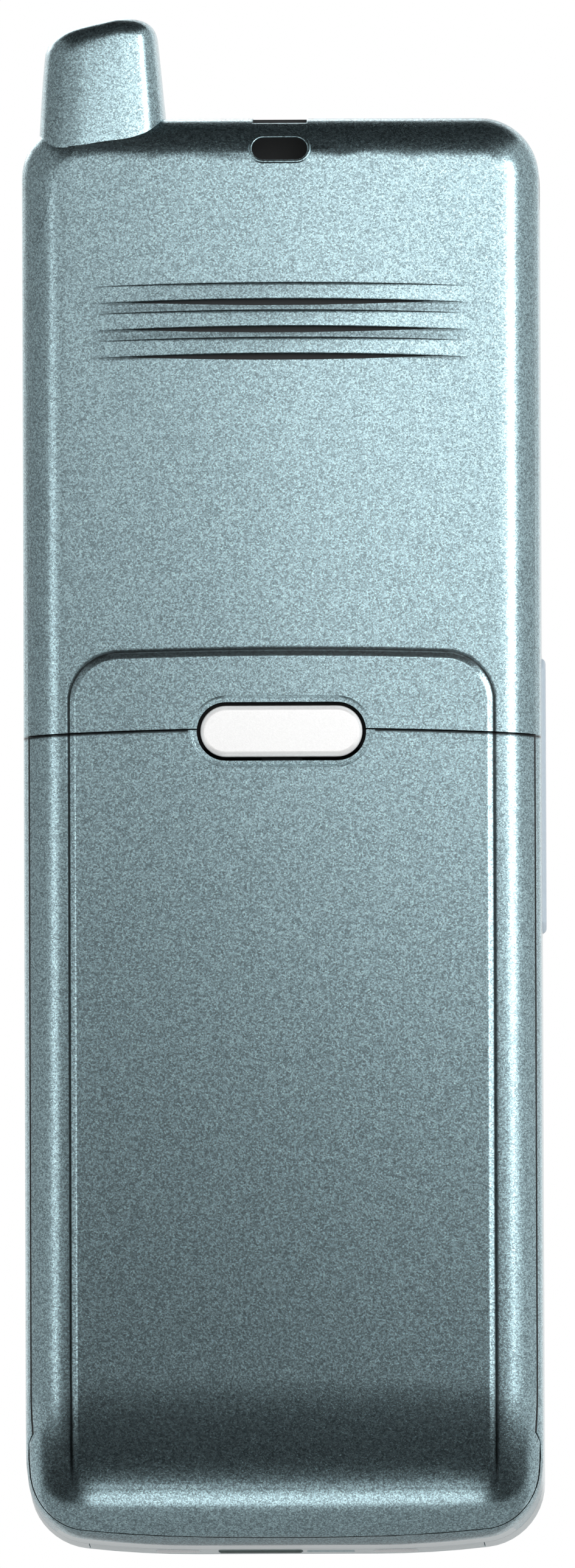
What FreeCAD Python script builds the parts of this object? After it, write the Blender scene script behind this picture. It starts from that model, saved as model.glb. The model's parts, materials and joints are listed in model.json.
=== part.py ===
"""Network handset with a stub antenna, its battery cover, latch and keys, in millimetres.

The handset stands on its foot. +Z points to the antenna's end, -Y is the side with the display and
the keys, +Y is the back with the battery cover, and the antenna stands on the +X side.
The origin is on the foot's face, midway across the width; Y is 0 at mid-depth.
"""
import FreeCAD, Part
import math
import os
import Sketcher

SIZES = {
    # casing
    "body_width": 46.0,
    "body_height": 127.4,
    "mid_depth": -2.0,            # Y of the plane where the two halves meet
    "rear_depth": 13.0,
    "front_depth": 9.0,
    "top_corner": 5.3,
    "foot_corner": 5.7,
    "foot_flat": 8.0,             # half the flat of the foot
    "foot_crown": 86.7,
    "back_bow": 400.0,            # radius of the back's crown, across the width
    "back_roll": 4.2,
    "front_bevel": 1.5,
    "case_wall": 1.6,
    "front_wall": 1.5,
    "inner_bevel": 1.5,
    # foot of the back, where it rolls under
    "roll_gentle": 32.0,
    "roll_tight": 8.0,
    "gentle_angle": 16.0,
    "steep_angle": 72.0,
    "roll_lip": 0.13,
    # raised panel on the back
    "panel_inset": 4.1,           # from the side of the casing
    "panel_rise": 7.1,            # above the cover's seam
    "panel_corner": 4.3,
    "panel_raise": 0.3,
    "seam_bow": 450.0,
    # battery cover
    "cover_inset": 0.36,
    "cover_top": 72.9,
    "cover_foot": 1.15,
    "cover_corner": 5.0,
    "cover_crown": 200.0,
    "cover_wall": 1.3,
    "cover_skirt": 8.5,           # Y of the cover's side edges
    "cover_tuck": 4.0,            # Y that its foot reaches in to
    "cover_gap": 0.12,
    "cover_seat": 0.15,
    "seam_shelf": 2.0,            # how far the case reaches up behind the seam
    "lug_from": 7.0,
    "lug_width": 4.0,
    "lug_inner": 2.9,
    "lug_height": 1.9,
    # battery well
    "floor_front": 0.2,
    "floor_back": 1.4,
    "well_inset": 4.4,
    "well_foot": 12.0,
    "well_drop": 5.9,             # below the cover's seam
    "battery_gap": 0.3,
    "battery_back": 9.45,
    "battery_corner": 1.2,
    # latch
    "latch_drop": 0.2,
    "latch_half": 7.2,
    "latch_tall": 4.55,
    "latch_gap": 0.33,
    "latch_proud": 0.15,
    "latch_edge": 0.35,
    "dish_margin": 0.62,
    "dish_depth": 0.25,
    "flange_half": 8.2,
    "flange_thick": 0.6,
    "flange_rise": 3.7,           # above the button's middle
    "room_floor": 5.6,
    "room_drop": 4.8,             # below the button's middle
    "room_margin": 0.6,
    "catch_half": 1.8,
    "catch_reach": 1.8,
    "strip_thick": 0.2,
    "strip_width": 2.6,
    "strip_span": 9.0,
    # grip ribs
    "rib_drop": 14.8,             # below the top of the casing
    "rib_pitch": 2.43,
    "rib_half": 16.85,
    "rib_ramp": 1.5,
    "rib_height": 0.4,
    "rib_bow": 560.0,
    "rib_groove": 0.54,
    "rib_depth": 0.5,
    # strap eyelet
    "eyelet_drop": 2.9,
    "eyelet_half": 2.55,
    "eyelet_tall": 2.2,
    "eyelet_inner": 5.4,
    "eyelet_bar": 8.8,
    "strap_wall": 0.9,
    # antenna stub
    "stub_inset": 7.05,
    "stub_root_half": 5.65,
    "stub_tip_half": 4.5,
    "stub_front": -4.0,
    "stub_back": 10.75,
    "stub_tip_front": -2.9,
    "stub_tip_back": 9.3,
    "stub_sink": 10.9,            # how far its root lies under the top of the casing
    "stub_outer_rise": 7.3,       # how far the tip's outer side stands over it
    "stub_inner_rise": 9.05,
    "stub_corner": 1.2,
    "stub_edge": 1.4,
    "stub_wall": 1.5,
    # display
    "display_half": 18.0,
    "display_drop": 14.4,         # below the top of the casing
    "display_corner": 2.5,
    "window_thick": 1.0,
    "window_gap": 0.1,
    "view_margin": 2.4,
    "panel_thick": 1.6,
    # keys
    "key_proud": 0.6,
    "key_gap": 0.15,
    "key_flange": 0.6,
    "key_travel": 0.4,
    "key_edge": 0.35,
    "key_corner": 1.4,
    "key_half": 5.5,
    "key_bridge": 2.7,            # between the rows of numbers
    "key_column": 13.2,
    "key_low": 23.5,              # middle of the bottom row above the foot
    "key_drop": 18.2,             # from the ring's middle to the top row of numbers
    "call_column": 15.2,
    "call_drop": 6.2,
    "call_half": 4.0,
    "call_tall": 5.8,
    "call_corner": 1.2,
    "soft_rise": 9.0,
    "soft_half": 4.6,
    "soft_tall": 4.4,
    "nav_height": 70.2,           # the ring's middle above the foot
    "nav_drop": 13.8,             # from the display's foot to the ring's middle
    "nav_outer": 9.2,
    "nav_inner": 3.9,
    "select_radius": 3.4,
    # board and what is on it
    "board_inset": 3.4,
    "board_front": -5.6,
    "board_back": -4.6,
    "mat_front": -7.3,
    "mat_thick": 1.1,
    "mat_margin": 2.1,            # below the bottom row
    "radio_divide": 11.95,        # from the stub's middle to the line between the radios
    "radio_foot": 88.0,
    "ringer_rise": 16.0,          # above the battery's connector
    "ringer_column": 9.0,
    "screw_inset": 8.0,
    "screw_low": 9.6,
    "screw_drop": 3.3,            # below the cover's seam
    "screw_shank": 0.8,
    "screw_head": 1.5,
    "screw_seat": 7.0,
    "boss_radius": 1.9,
    # foot end piece and its contacts
    "end_inset": 5.4,
    "end_height": 3.2,
    "end_front": -8.7,
    "pad_column": 9.7,
    "pad_radius": 1.95,
    "pad_depth": -5.3,
    "port_low": -1.4,
    "port_high": 6.1,
    "port_front": -6.7,
    "port_back": -3.9,
    "connector_top": 7.5,
    # volume key
    "volume_foot": 55.2,
    "volume_top": 79.8,
    "volume_front": -7.9,
    "volume_back": -4.1,
    "volume_proud": 0.35,
    # headset socket
    "socket_drop": 6.1,
    "socket_depth": 1.6,
    "socket_bore": 1.25,
    "socket_nose": 1.8,
    "socket_body": 2.5,
    "socket_length": 9.5,
    # earpiece and microphone
    "ear_rise": 5.6,              # above the display
    "ear_radius": 5.0,
    "slot_half": 4.0,
    "slot_tall": 1.0,
    "slot_pitch": 1.9,
    "mic_height": 11.0,
    "mic_radius": 2.0,
}

doc = FreeCAD.newDocument("handset")
sheet = doc.addObject("Spreadsheet::Sheet", "Sizes")
for row, (alias, number) in enumerate(SIZES.items(), start=1):
    sheet.set(f"A{row}", alias)
    sheet.set(f"B{row}", str(number))
    sheet.setAlias(f"B{row}", alias)
doc.recompute()


class Size:
    """A length or an angle: its value, and the expression of the sheet's cells that gives it."""

    def __init__(self, value, text):
        self.value = float(value)
        self.text = text

    def __add__(self, other):
        other = as_size(other)
        return Size(self.value + other.value, f"({self.text} + {other.text})")

    def __sub__(self, other):
        other = as_size(other)
        return Size(self.value - other.value, f"({self.text} - {other.text})")

    def __mul__(self, other):
        other = as_size(other)
        return Size(self.value * other.value, f"({self.text} * {other.text})")

    def __truediv__(self, other):
        other = as_size(other)
        return Size(self.value / other.value, f"({self.text} / {other.text})")

    def __neg__(self):
        return Size(-self.value, f"(0 - {self.text})")

    def __radd__(self, other):
        return as_size(other) + self

    def __rsub__(self, other):
        return as_size(other) - self

    def __rmul__(self, other):
        return as_size(other) * self


def as_size(number):
    return number if isinstance(number, Size) else Size(number, f"{number:.6g}")


def root(size):
    return Size(math.sqrt(size.value), f"sqrt({size.text})")


def cosine(angle):
    return Size(math.cos(math.radians(angle.value)), f"cos({angle.text})")


def sine(angle):
    return Size(math.sin(math.radians(angle.value)), f"sin({angle.text})")


class Cells:
    """The sheet's cells, each read as a Size under its alias."""

    def __getattr__(self, alias):
        return Size(sheet.get(alias), f"Sizes.{alias}")


cell = Cells()

# Planes and lengths that many pieces share
half_width = cell.body_width / 2
parting = cell.mid_depth
back = parting + cell.rear_depth
front = parting - cell.front_depth
front_inside = front + cell.front_wall
zero = as_size(0)

# Places that follow from other sizes
panel_half = half_width - cell.panel_inset
panel_top = cell.cover_top + cell.panel_rise
cover_half = half_width - cell.cover_inset
well_half = half_width - cell.well_inset
well_top = cell.cover_top - cell.well_drop
latch_height = cell.cover_top - cell.latch_drop
flange_top = latch_height + cell.flange_rise
room_foot = latch_height - cell.room_drop
rib_first = cell.body_height - cell.rib_drop
eyelet_height = cell.body_height - cell.eyelet_drop
stub_middle = half_width - cell.stub_inset
stub_root = cell.body_height - cell.stub_sink
stub_outer = cell.body_height + cell.stub_outer_rise
stub_inner = cell.body_height + cell.stub_inner_rise
display_top = cell.body_height - cell.display_drop
nav_height = cell.nav_height
display_foot = nav_height + cell.nav_drop
call_height = nav_height - cell.call_drop
soft_height = nav_height + cell.soft_rise
key_top_row = nav_height - cell.key_drop
key_row = (key_top_row - cell.key_low) / 3
key_tall = key_row - cell.key_bridge
screw_column = half_width - cell.screw_inset
screw_high = cell.cover_top - cell.screw_drop
end_half = half_width - cell.end_inset
socket_height = cell.body_height - cell.socket_drop
ear_height = display_top + cell.ear_rise
board_foot = cell.board_inset
board_top = cell.body_height - cell.board_inset
board_half = half_width - cell.board_inset


# Ways to make solids

def bind(thing, **sizes):
    for name, size in sizes.items():
        thing.setExpression(name, as_size(size).text)


def place(thing, x, y, z):
    for axis, size in zip("xyz", (x, y, z)):
        thing.setExpression(f"Placement.Base.{axis}", as_size(size).text)


def block(name, x, y, z):
    """A box between two values along each axis."""
    solid = doc.addObject("Part::Box", name)
    bind(solid, Length=x[1] - x[0], Width=y[1] - y[0], Height=z[1] - z[0])
    place(solid, x[0], y[0], z[0])
    return solid


TURN_ALONG = {"x": ((0, 1, 0), 90), "y": ((1, 0, 0), -90), "z": ((0, 0, 1), 0)}


def rod(name, along, radius, low, high, centre, sides=0):
    """A cylinder along an axis, from low to high; centre gives its place on the other two axes.

    With sides it is a many-sided bar, which serves for what is small or out of sight.
    """
    solid = doc.addObject("Part::Prism" if sides else "Part::Cylinder", name)
    axis, angle = TURN_ALONG[along]
    solid.Placement = FreeCAD.Placement(FreeCAD.Vector(), FreeCAD.Rotation(FreeCAD.Vector(*axis), angle))
    if sides:
        solid.Polygon = sides
        bind(solid, Circumradius=radius, Height=high - low)
    else:
        bind(solid, Radius=radius, Height=high - low)
    spot = dict(zip([a for a in "xyz" if a != along], centre))
    spot[along] = low
    place(solid, spot["x"], spot["y"], spot["z"])
    return solid


def corners_of(path):
    """The path's corners: each step is a point, or a radius, the arc's side and a point."""
    return [(as_size(step[-2]), as_size(step[-1])) for step in path]


def draw(sketch, path):
    """Draw a closed path, anticlockwise, and tie its corners and radii to the sheet.

    A step (a, b) is a straight line to that point. ("out", r, a, b) is an arc that swells outwards,
    and ("in", r, a, b) one that is hollow.
    """
    corners = corners_of(path)
    ends = []
    for index, step in enumerate(path):
        start, stop = corners[index - 1], corners[index]
        p = FreeCAD.Vector(start[0].value, start[1].value, 0)
        q = FreeCAD.Vector(stop[0].value, stop[1].value, 0)
        if len(step) == 2:
            ends.append((sketch.addGeometry(Part.LineSegment(p, q)), 1, 2))
            continue
        kind, radius = step[0], as_size(step[1])
        first, last = (p, q) if kind == "out" else (q, p)
        chord = last - first
        reach = math.sqrt(max(radius.value ** 2 - (chord.Length / 2) ** 2, 0))
        centre = (first + last) / 2 + FreeCAD.Vector(-chord.y, chord.x, 0).normalize() * reach
        circle = Part.Circle(centre, FreeCAD.Vector(0, 0, 1), radius.value)
        angles = [math.atan2(point.y - centre.y, point.x - centre.x) for point in (first, last)]
        number = sketch.addGeometry(Part.ArcOfCircle(circle, *angles))
        ends.append((number, 1, 2) if kind == "out" else (number, 2, 1))
        limit = sketch.addConstraint(Sketcher.Constraint("Radius", number, radius.value))
        sketch.setExpression(f"Constraints[{limit}]", radius.text)
    for index, (number, first, last) in enumerate(ends):
        following, joined, _ = ends[(index + 1) % len(ends)]
        sketch.addConstraint(Sketcher.Constraint("Coincident", number, last, following, joined))
        for kind, size in zip(("DistanceX", "DistanceY"), corners[index]):
            limit = sketch.addConstraint(Sketcher.Constraint(kind, -1, 1, number, last, size.value))
            sketch.setExpression(f"Constraints[{limit}]", size.text)


def sketch_in(body, plane, path, name):
    """A sketch on one of the body's own origin planes."""
    sketch = body.newObject("Sketcher::SketchObject", name)
    role = {"xy": "XY_Plane", "xz": "XZ_Plane", "yz": "YZ_Plane"}[plane]
    sketch.AttachmentSupport = [next(f for f in body.Origin.OriginFeatures if f.Role == role)]
    sketch.MapMode = "FlatFace"
    draw(sketch, path)
    return sketch


def prism(name, plane, path, low, high):
    """A padded outline between two values along the axis across its plane."""
    body = doc.addObject("PartDesign::Body", name)
    sketch = sketch_in(body, plane, path, name + "_outline")
    pad = body.newObject("PartDesign::Pad", name + "_pad")
    pad.Profile = sketch
    bind(pad, Length=as_size(high) - low)
    if plane == "xz":
        place(body, zero, high, zero)
    elif plane == "yz":
        place(body, low, zero, zero)
    else:
        place(body, zero, zero, low)
    return body


def dress(body, kind, name, wanted, **sizes):
    """Round or bevel the edges of the body's solid for which wanted(edge, faces) holds."""
    doc.recompute()
    base = body.Tip
    chosen = []
    for number, edge in enumerate(base.Shape.Edges, start=1):
        if wanted(edge, base.Shape.ancestorsOfType(edge, Part.Face)):
            chosen.append(f"Edge{number}")
    feature = body.newObject(f"PartDesign::{kind}", name)
    feature.Base = (base, chosen)
    bind(feature, **sizes)
    body.Tip = feature
    return body


def combined(kind, name, pieces):
    solid = doc.addObject(kind, name)
    solid.Shapes = list(pieces)
    return solid


def joined(name, *pieces):
    return combined("Part::MultiFuse", name, pieces)


def shared(name, *pieces):
    return combined("Part::MultiCommon", name, pieces)


def without(name, base, *tools):
    """The base with every tool cut out of it."""
    solid = doc.addObject("Part::Cut", name)
    solid.Base = base
    solid.Tool = tools[0] if len(tools) == 1 else joined(name + "_tools", *tools)
    return solid


def group(name, *pieces):
    """Separate solids that share one node."""
    solid = doc.addObject("Part::Compound", name)
    solid.Links = list(pieces)
    return solid


nodes = {}


def node(name, thing):
    thing.Label = name
    nodes[name] = thing
    return thing


# Outlines

def box_path(a, b):
    return [(a[1], b[0]), (a[1], b[1]), (a[0], b[1]), (a[0], b[0])]


def rounded_path(a, b, radius):
    """A rectangle between two values each way, with four equal corners."""
    return [
        (a[1] - radius, b[0]),
        ("out", radius, a[1], b[0] + radius),
        (a[1], b[1] - radius),
        ("out", radius, a[1] - radius, b[1]),
        (a[0] + radius, b[1]),
        ("out", radius, a[0], b[1] - radius),
        (a[0], b[0] + radius),
        ("out", radius, a[0] + radius, b[0]),
    ]


def cut_path(a, b, cut):
    """A rectangle between two values each way, with its corners cut off."""
    return [
        (a[1] - cut, b[0]),
        (a[1], b[0] + cut),
        (a[1], b[1] - cut),
        (a[1] - cut, b[1]),
        (a[0] + cut, b[1]),
        (a[0], b[1] - cut),
        (a[0], b[0] + cut),
        (a[0] + cut, b[0]),
    ]


def pill_path(a, b):
    """A slot with round ends, long along the first axis."""
    radius = (b[1] - b[0]) / 2
    middle = b[0] + radius
    return [
        (a[1] - radius, b[0]),
        ("out", radius, a[1], middle),
        ("out", radius, a[1] - radius, b[1]),
        (a[0] + radius, b[1]),
        ("out", radius, a[0], middle),
        ("out", radius, a[0] + radius, b[0]),
    ]


def mid(centre, half):
    return (centre - half, centre + half)


def body_path(inset):
    """The handset's outline seen from the back, set in from the casing by inset."""
    side = half_width - inset
    top = cell.body_height - inset
    top_round = cell.top_corner - inset
    foot_round = cell.foot_corner - inset
    crown = cell.foot_crown - inset
    corner_x = half_width - cell.foot_corner
    reach = corner_x - cell.foot_flat
    corner_z = cell.foot_crown - root((crown - foot_round) * (crown - foot_round) - reach * reach)
    share = crown / (crown - foot_round)
    tangent = (cell.foot_flat + reach * share, cell.foot_crown - (cell.foot_crown - corner_z) * share)
    return [
        (cell.foot_flat, inset),
        ("out", crown, tangent[0], tangent[1]),
        ("out", foot_round, side, corner_z),
        (side, top - top_round),
        ("out", top_round, side - top_round, top),
        (top_round - side, top),
        ("out", top_round, -side, top - top_round),
        (-side, corner_z),
        ("out", foot_round, -tangent[0], tangent[1]),
        ("out", crown, -cell.foot_flat, inset),
    ]


# The form of the rear half

gentle = cell.gentle_angle
steep = cell.steep_angle
roll_start = cell.roll_lip + cell.roll_gentle * sine(gentle) + cell.roll_tight * (sine(steep) - sine(gentle))


def spare_path(inset, lift, origin_y):
    """What lies behind the back's profile, seen from the side, with Y counted from origin_y.

    The back runs straight down to roll_start, then turns under on a gentle arc and a tight one.
    """
    base = back - origin_y
    wide = cell.roll_gentle - inset
    tight = cell.roll_tight - inset
    centre = (base - cell.roll_gentle, roll_start + lift)
    bend = (centre[0] + wide * cosine(gentle), centre[1] - wide * sine(gentle))
    inner = (
        centre[0] + (cell.roll_gentle - cell.roll_tight) * cosine(gentle),
        centre[1] - (cell.roll_gentle - cell.roll_tight) * sine(gentle),
    )
    lip = (inner[0] + tight * cosine(steep), inner[1] - tight * sine(steep))
    drop = lip[1] - inset + 2
    foot = (lip[0] - drop * sine(steep) / cosine(steep), inset - 2)
    high = cell.body_height + 20
    return [
        (base + 10, foot[1]),
        (base + 10, high),
        (base - inset, high),
        (base - inset, centre[1]),
        ("in", wide, bend[0], bend[1]),
        ("in", tight, lip[0], lip[1]),
        foot,
    ]


def leans_back(face, point):
    """Whether a face's normal has any part along Y at a point."""
    u, v = face.Surface.parameter(point)
    return abs(face.normalAt(u, v).y) > 0.02


def on_rim(edge, faces, front_plane):
    """Whether an edge lies between the sides, which run along Y, and the back."""
    if edge.BoundBox.YMax < front_plane + 0.5:
        return False
    if edge.BoundBox.XLength < 0.001 and edge.BoundBox.ZLength < 0.001:
        return False
    point = edge.valueAt((edge.FirstParameter + edge.LastParameter) / 2)
    return sorted(leans_back(face, point) for face in faces) == [False, True]


def rear_form(name, inset, lift, start_y):
    """The rear half as a full solid, its back crowned and rolled, with rounded rims."""
    inset = as_size(inset)
    body = prism(name, "xz", body_path(inset), start_y, back + 6)
    pivot = back - cell.back_bow
    sketch = sketch_in(body, "yz", spare_path(inset, lift, pivot), name + "_profile")
    shift = back + 6
    sketch.setExpression("AttachmentOffset.Base.x", (pivot - shift).text)
    groove = body.newObject("PartDesign::Groove", name + "_back")
    groove.Profile = sketch
    groove.ReferenceAxis = (sketch, ["V_Axis"])
    groove.Midplane = True
    groove.Angle = 20
    front_plane = start_y.value - shift.value
    return dress(body, "Fillet", name + "_rim", lambda edge, faces: on_rim(edge, faces, front_plane),
                 Radius=cell.back_roll - inset)


def inner_form(name, inset, start_y):
    """The rear half set in by inset, with a flat back and bevelled rims, for hollows and seats."""
    body = prism(name, "xz", body_path(inset), start_y, back + 6)
    shift = back + 6
    sketch = sketch_in(body, "yz", spare_path(inset, 0, shift), name + "_profile")
    pocket = body.newObject("PartDesign::Pocket", name + "_back")
    pocket.Profile = sketch
    pocket.Midplane = True
    bind(pocket, Length=cell.body_width + 10)
    front_plane = start_y.value - shift.value
    return dress(body, "Chamfer", name + "_rim", lambda edge, faces: on_rim(edge, faces, front_plane),
                 Size=cell.inner_bevel)


# Rear half: outer form with its raised panel, and the zone that the cover fills

def panel_path():
    half = panel_half
    turn = cell.panel_corner
    shoulder = half - turn
    top = panel_top - shoulder * shoulder / (2 * cell.seam_bow)
    low = as_size(3)
    return [
        (-half, low),
        (half, low),
        (half, top - turn),
        ("out", turn, shoulder, top),
        ("out", cell.seam_bow, -shoulder, top),
        ("out", turn, -half, top - turn),
    ]


def cover_path(gap):
    """The cover's outline seen from the back, grown by gap."""
    side = cover_half + gap
    turn = cell.cover_corner + gap
    crown = cell.cover_crown + gap
    corner_x = cover_half - cell.cover_corner
    middle = cell.cover_foot + cell.cover_crown
    corner_z = middle - root((crown - turn) * (crown - turn) - corner_x * corner_x)
    share = crown / (crown - turn)
    tangent = (corner_x * share, middle - (middle - corner_z) * share)
    seam = cell.seam_bow + gap
    top = cell.cover_top - cell.seam_bow + root(seam * seam - side * side)
    return [
        ("out", crown, tangent[0], tangent[1]),
        ("out", turn, side, corner_z),
        (side, top),
        ("out", seam, -side, top),
        (-side, corner_z),
        ("out", turn, -tangent[0], tangent[1]),
    ]


def cover_zone(name, gap):
    """The space of the cover: its outline, down to its skirts and, at the foot, to its tuck."""
    skirt = cell.cover_skirt - gap * 2
    tuck = cell.cover_tuck - gap * 2
    seen = prism(name + "_plan", "xz", cover_path(gap), tuck, back + 5)
    side = [
        (tuck - 1, -2),
        (back + 6, -2),
        (back + 6, cell.cover_top + 5),
        (skirt, cell.cover_top + 5),
        (skirt, 10.5),
        (tuck, 6),
        (tuck - 1, 6),
    ]
    depth = prism(name + "_side", "yz", side, -half_width - 2, half_width + 2)
    return shared(name, seen, depth)


panel_lift = cell.panel_raise / sine(gentle + 2)
outer = rear_form("outer_form", 0, zero, parting)
raised_form = rear_form("raised_form", -cell.panel_raise, panel_lift, parting)
panel_plan = prism("panel_plan", "xz", panel_path(), parting + 2, back + 5)
raised = shared("raised_panel", raised_form, panel_plan)
hull = joined("rear_hull", outer, raised)

# Space for the cover, and the seat beneath it
cover_room = cover_zone("cover_room", cell.cover_gap)
seat_form = inner_form("cover_seat_form", cell.cover_wall + cell.cover_seat, parting)
seat_reach = block("seat_reach", (-half_width, half_width), (parting, back), (6.5, cell.cover_top + 3))
cover_pocket = without("cover_pocket", cover_room, shared("cover_seat_block", seat_form, seat_reach))

# Hollow for the electronics: full depth above the battery, a shallow tray behind it
hollow_form = inner_form("hollow_form", cell.case_wall, parting - 1)
keep_low = block(
    "battery_floor_keep",
    (-half_width, half_width),
    (cell.floor_front, back + 1),
    (-1, cell.cover_top + cell.seam_shelf),
)
eyelet_low = eyelet_height - cell.eyelet_tall / 2
eyelet_high = eyelet_height + cell.eyelet_tall / 2
eyelet_span = mid(zero, cell.eyelet_half)
keep_strap = block(
    "strap_keep",
    mid(zero, cell.eyelet_half + cell.strap_wall),
    (cell.eyelet_inner - cell.strap_wall, back),
    (eyelet_low - cell.strap_wall, cell.body_height),
)
electronics = without("electronics_hollow", hollow_form, keep_low, keep_strap)
well = block(
    "battery_well",
    mid(zero, well_half),
    (cell.floor_back, back + 2),
    (cell.well_foot, well_top),
)


# Strap eyelet: a slot in the back that turns up and out of the top, behind a bar

eyelet_mouth = prism("eyelet_mouth", "xz", cut_path(eyelet_span, (eyelet_low, eyelet_high), as_size(0.7)),
                     cell.eyelet_inner, back + 2)
eyelet_rise = block("eyelet_rise", mid(zero, cell.eyelet_half - 0.15), (cell.eyelet_inner, cell.eyelet_bar),
                    (eyelet_low + 0.4, cell.body_height + 1))


# Grip ribs: ramps that rise towards the foot, each over a tapering groove

def rib(number):
    top = rib_first - cell.rib_pitch * number
    edge = top - cell.rib_ramp
    pivot = back - cell.rib_bow
    ramp = [
        (cell.rib_bow - 1, edge - 0.2),
        (cell.rib_bow + cell.rib_height, edge),
        (cell.rib_bow, top),
        (cell.rib_bow - 1, top),
    ]
    body = doc.addObject("PartDesign::Body", f"rib_{number + 1}")
    sketch = sketch_in(body, "yz", ramp, f"rib_{number + 1}_ramp")
    place(body, zero, pivot, zero)
    turn = body.newObject("PartDesign::Revolution", f"rib_{number + 1}_sweep")
    turn.Profile = sketch
    turn.ReferenceAxis = (sketch, ["V_Axis"])
    turn.Midplane = True
    turn.Angle = 10
    limit = block(f"rib_{number + 1}_limit", mid(zero, cell.rib_half), (back - 1, back + 2),
                  (edge - 1, top + 1))
    ridge = shared(f"rib_{number + 1}_ridge", body, limit)
    bow = cell.rib_half * cell.rib_half / (2 * (cell.rib_groove - 0.08)) + (cell.rib_groove - 0.08) / 2
    groove = [
        ("out", bow, cell.rib_half, edge - 0.08),
        (cell.rib_half, edge),
        (-cell.rib_half, edge),
        (-cell.rib_half, edge - 0.08),
    ]
    slit = prism(f"rib_{number + 1}_groove", "xz", groove, back - cell.rib_depth, back + 1)
    return ridge, slit


ribs = [rib(number) for number in range(3)]


# Antenna stub: a tapered hollow horn that grows out of the top corner

def stub(name, inset, root_z, tip_z):
    """The stub's solid, set in by inset, between two heights."""
    wires = []
    for half, low, high, level in (
        (cell.stub_root_half, cell.stub_front, cell.stub_back, root_z),
        (cell.stub_tip_half, cell.stub_tip_front, cell.stub_tip_back, tip_z),
    ):
        sketch = doc.addObject("Sketcher::SketchObject", f"{name}_section_{len(wires) + 1}")
        draw(sketch, cut_path(mid(stub_middle, half - inset), (low + inset, high - inset), cell.stub_corner))
        sketch.setExpression("Placement.Base.z", as_size(level).text)
        wires.append(sketch)
    loft = doc.addObject("Part::Loft", name)
    loft.Sections = wires
    loft.Solid = True
    loft.Ruled = True
    return loft


stub_tip = stub_inner + 1
stub_full = stub("stub_full", zero, stub_root, stub_tip)
stub_low = stub_root - 2
stub_reach = cell.stub_root_half + 2.3
stub_east = stub_middle + cell.stub_tip_half + 0.1
stub_west = stub_middle - cell.stub_tip_half - 0.1
stub_seen = prism("stub_seen", "xz", [
    (stub_middle + stub_reach, stub_low),
    (stub_middle + stub_reach, stub_outer - 12),
    (stub_east, stub_outer - cell.stub_edge - 0.2),
    ("out", cell.stub_edge, stub_east - cell.stub_edge, stub_outer),
    (stub_west + cell.stub_edge, stub_inner),
    ("out", cell.stub_edge, stub_west, stub_inner - cell.stub_edge - 0.2),
    (stub_middle - stub_reach, stub_outer - 12),
    (stub_middle - stub_reach, stub_low),
], cell.stub_front - 5, cell.stub_back + 5)
stub_beside = prism("stub_beside", "yz", [
    (cell.stub_back + 2, stub_low),
    (cell.stub_back + 2, stub_outer - 12),
    (cell.stub_tip_back, stub_inner - cell.stub_edge),
    ("out", cell.stub_edge, cell.stub_tip_back - cell.stub_edge, stub_inner),
    (cell.stub_tip_front + cell.stub_edge, stub_inner),
    ("out", cell.stub_edge, cell.stub_tip_front, stub_inner - cell.stub_edge),
    (cell.stub_front - 2, stub_outer - 12),
    (cell.stub_front - 2, stub_low),
], stub_middle - stub_reach, stub_middle + stub_reach)
stub_rounded = shared("stub_rounded", stub_full, stub_seen, stub_beside)
stub_hollow = stub("stub_hollow", cell.stub_wall, stub_root + 2, stub_outer - 1.6)
stub_rows = (stub_root - 1, stub_tip + 1)
rear_side = block("rear_side", (0, half_width), (parting, back), stub_rows)
front_side = block("front_side", (0, half_width), (front, parting), stub_rows)
stub_rear = shared("stub_rear", stub_rounded, rear_side)
stub_front = shared("stub_front", stub_rounded, front_side)


# Latch: where its button passes, the dish round it, and the room its flange moves in

panel_back = back + cell.panel_raise
latch_span = mid(zero, cell.latch_half)
latch_rows = mid(latch_height, cell.latch_tall / 2)


def grown(pair, margin):
    return (pair[0] - margin, pair[1] + margin)


hole_path = pill_path(grown(latch_span, cell.latch_gap), grown(latch_rows, cell.latch_gap))
latch_hole = prism("latch_hole", "xz", hole_path, cell.room_floor + 2, panel_back + 1)
dish_margin = cell.latch_gap + cell.dish_margin
dish_path = pill_path(grown(latch_span, dish_margin), grown(latch_rows, dish_margin))
latch_dish = prism("latch_dish", "xz", dish_path, panel_back - cell.dish_depth, panel_back + 0.02)
doc.getObject("latch_dish_pad").TaperAngle = -45
room_half = cell.flange_half + cell.room_margin
hollow_back = back - cell.case_wall
latch_room = joined(
    "latch_room",
    block("latch_room_low", mid(zero, room_half), (cell.room_floor, back), (room_foot, cell.cover_top - 0.1)),
    block("latch_room_high", mid(zero, room_half), (cell.room_floor, hollow_back),
          (cell.cover_top - 0.2, flange_top + 1)),
)


# Screw places, and the window for the battery's contacts

screw_spots = [(side * screw_column, height) for side in (-1, 1) for height in (cell.screw_low, screw_high)]


def at_screws(name, radius, low, high, sides=12):
    return [rod(f"{name}_{number}", "y", radius, low, high, spot, sides)
            for number, spot in enumerate(screw_spots, start=1)]


screw_holes = at_screws("screw_hole", cell.screw_shank + 0.15, parting - 1, cell.screw_seat + 1)
head_holes = at_screws("head_hole", cell.screw_head + 0.15, cell.screw_seat, back)
contact_half = as_size(5)
contact_low = well_top - 7.2
contact_high = well_top - 2
contact_window = block("contact_window", mid(zero, contact_half + 0.2),
                       (cell.floor_front - 1, cell.floor_back + 1), (contact_low - 0.2, contact_high + 0.2))
socket_hole = rod("socket_hole", "x", cell.socket_nose + 0.1, -half_width - 1,
                  -half_width + cell.case_wall + 1, (cell.socket_depth, socket_height), 28)


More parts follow.
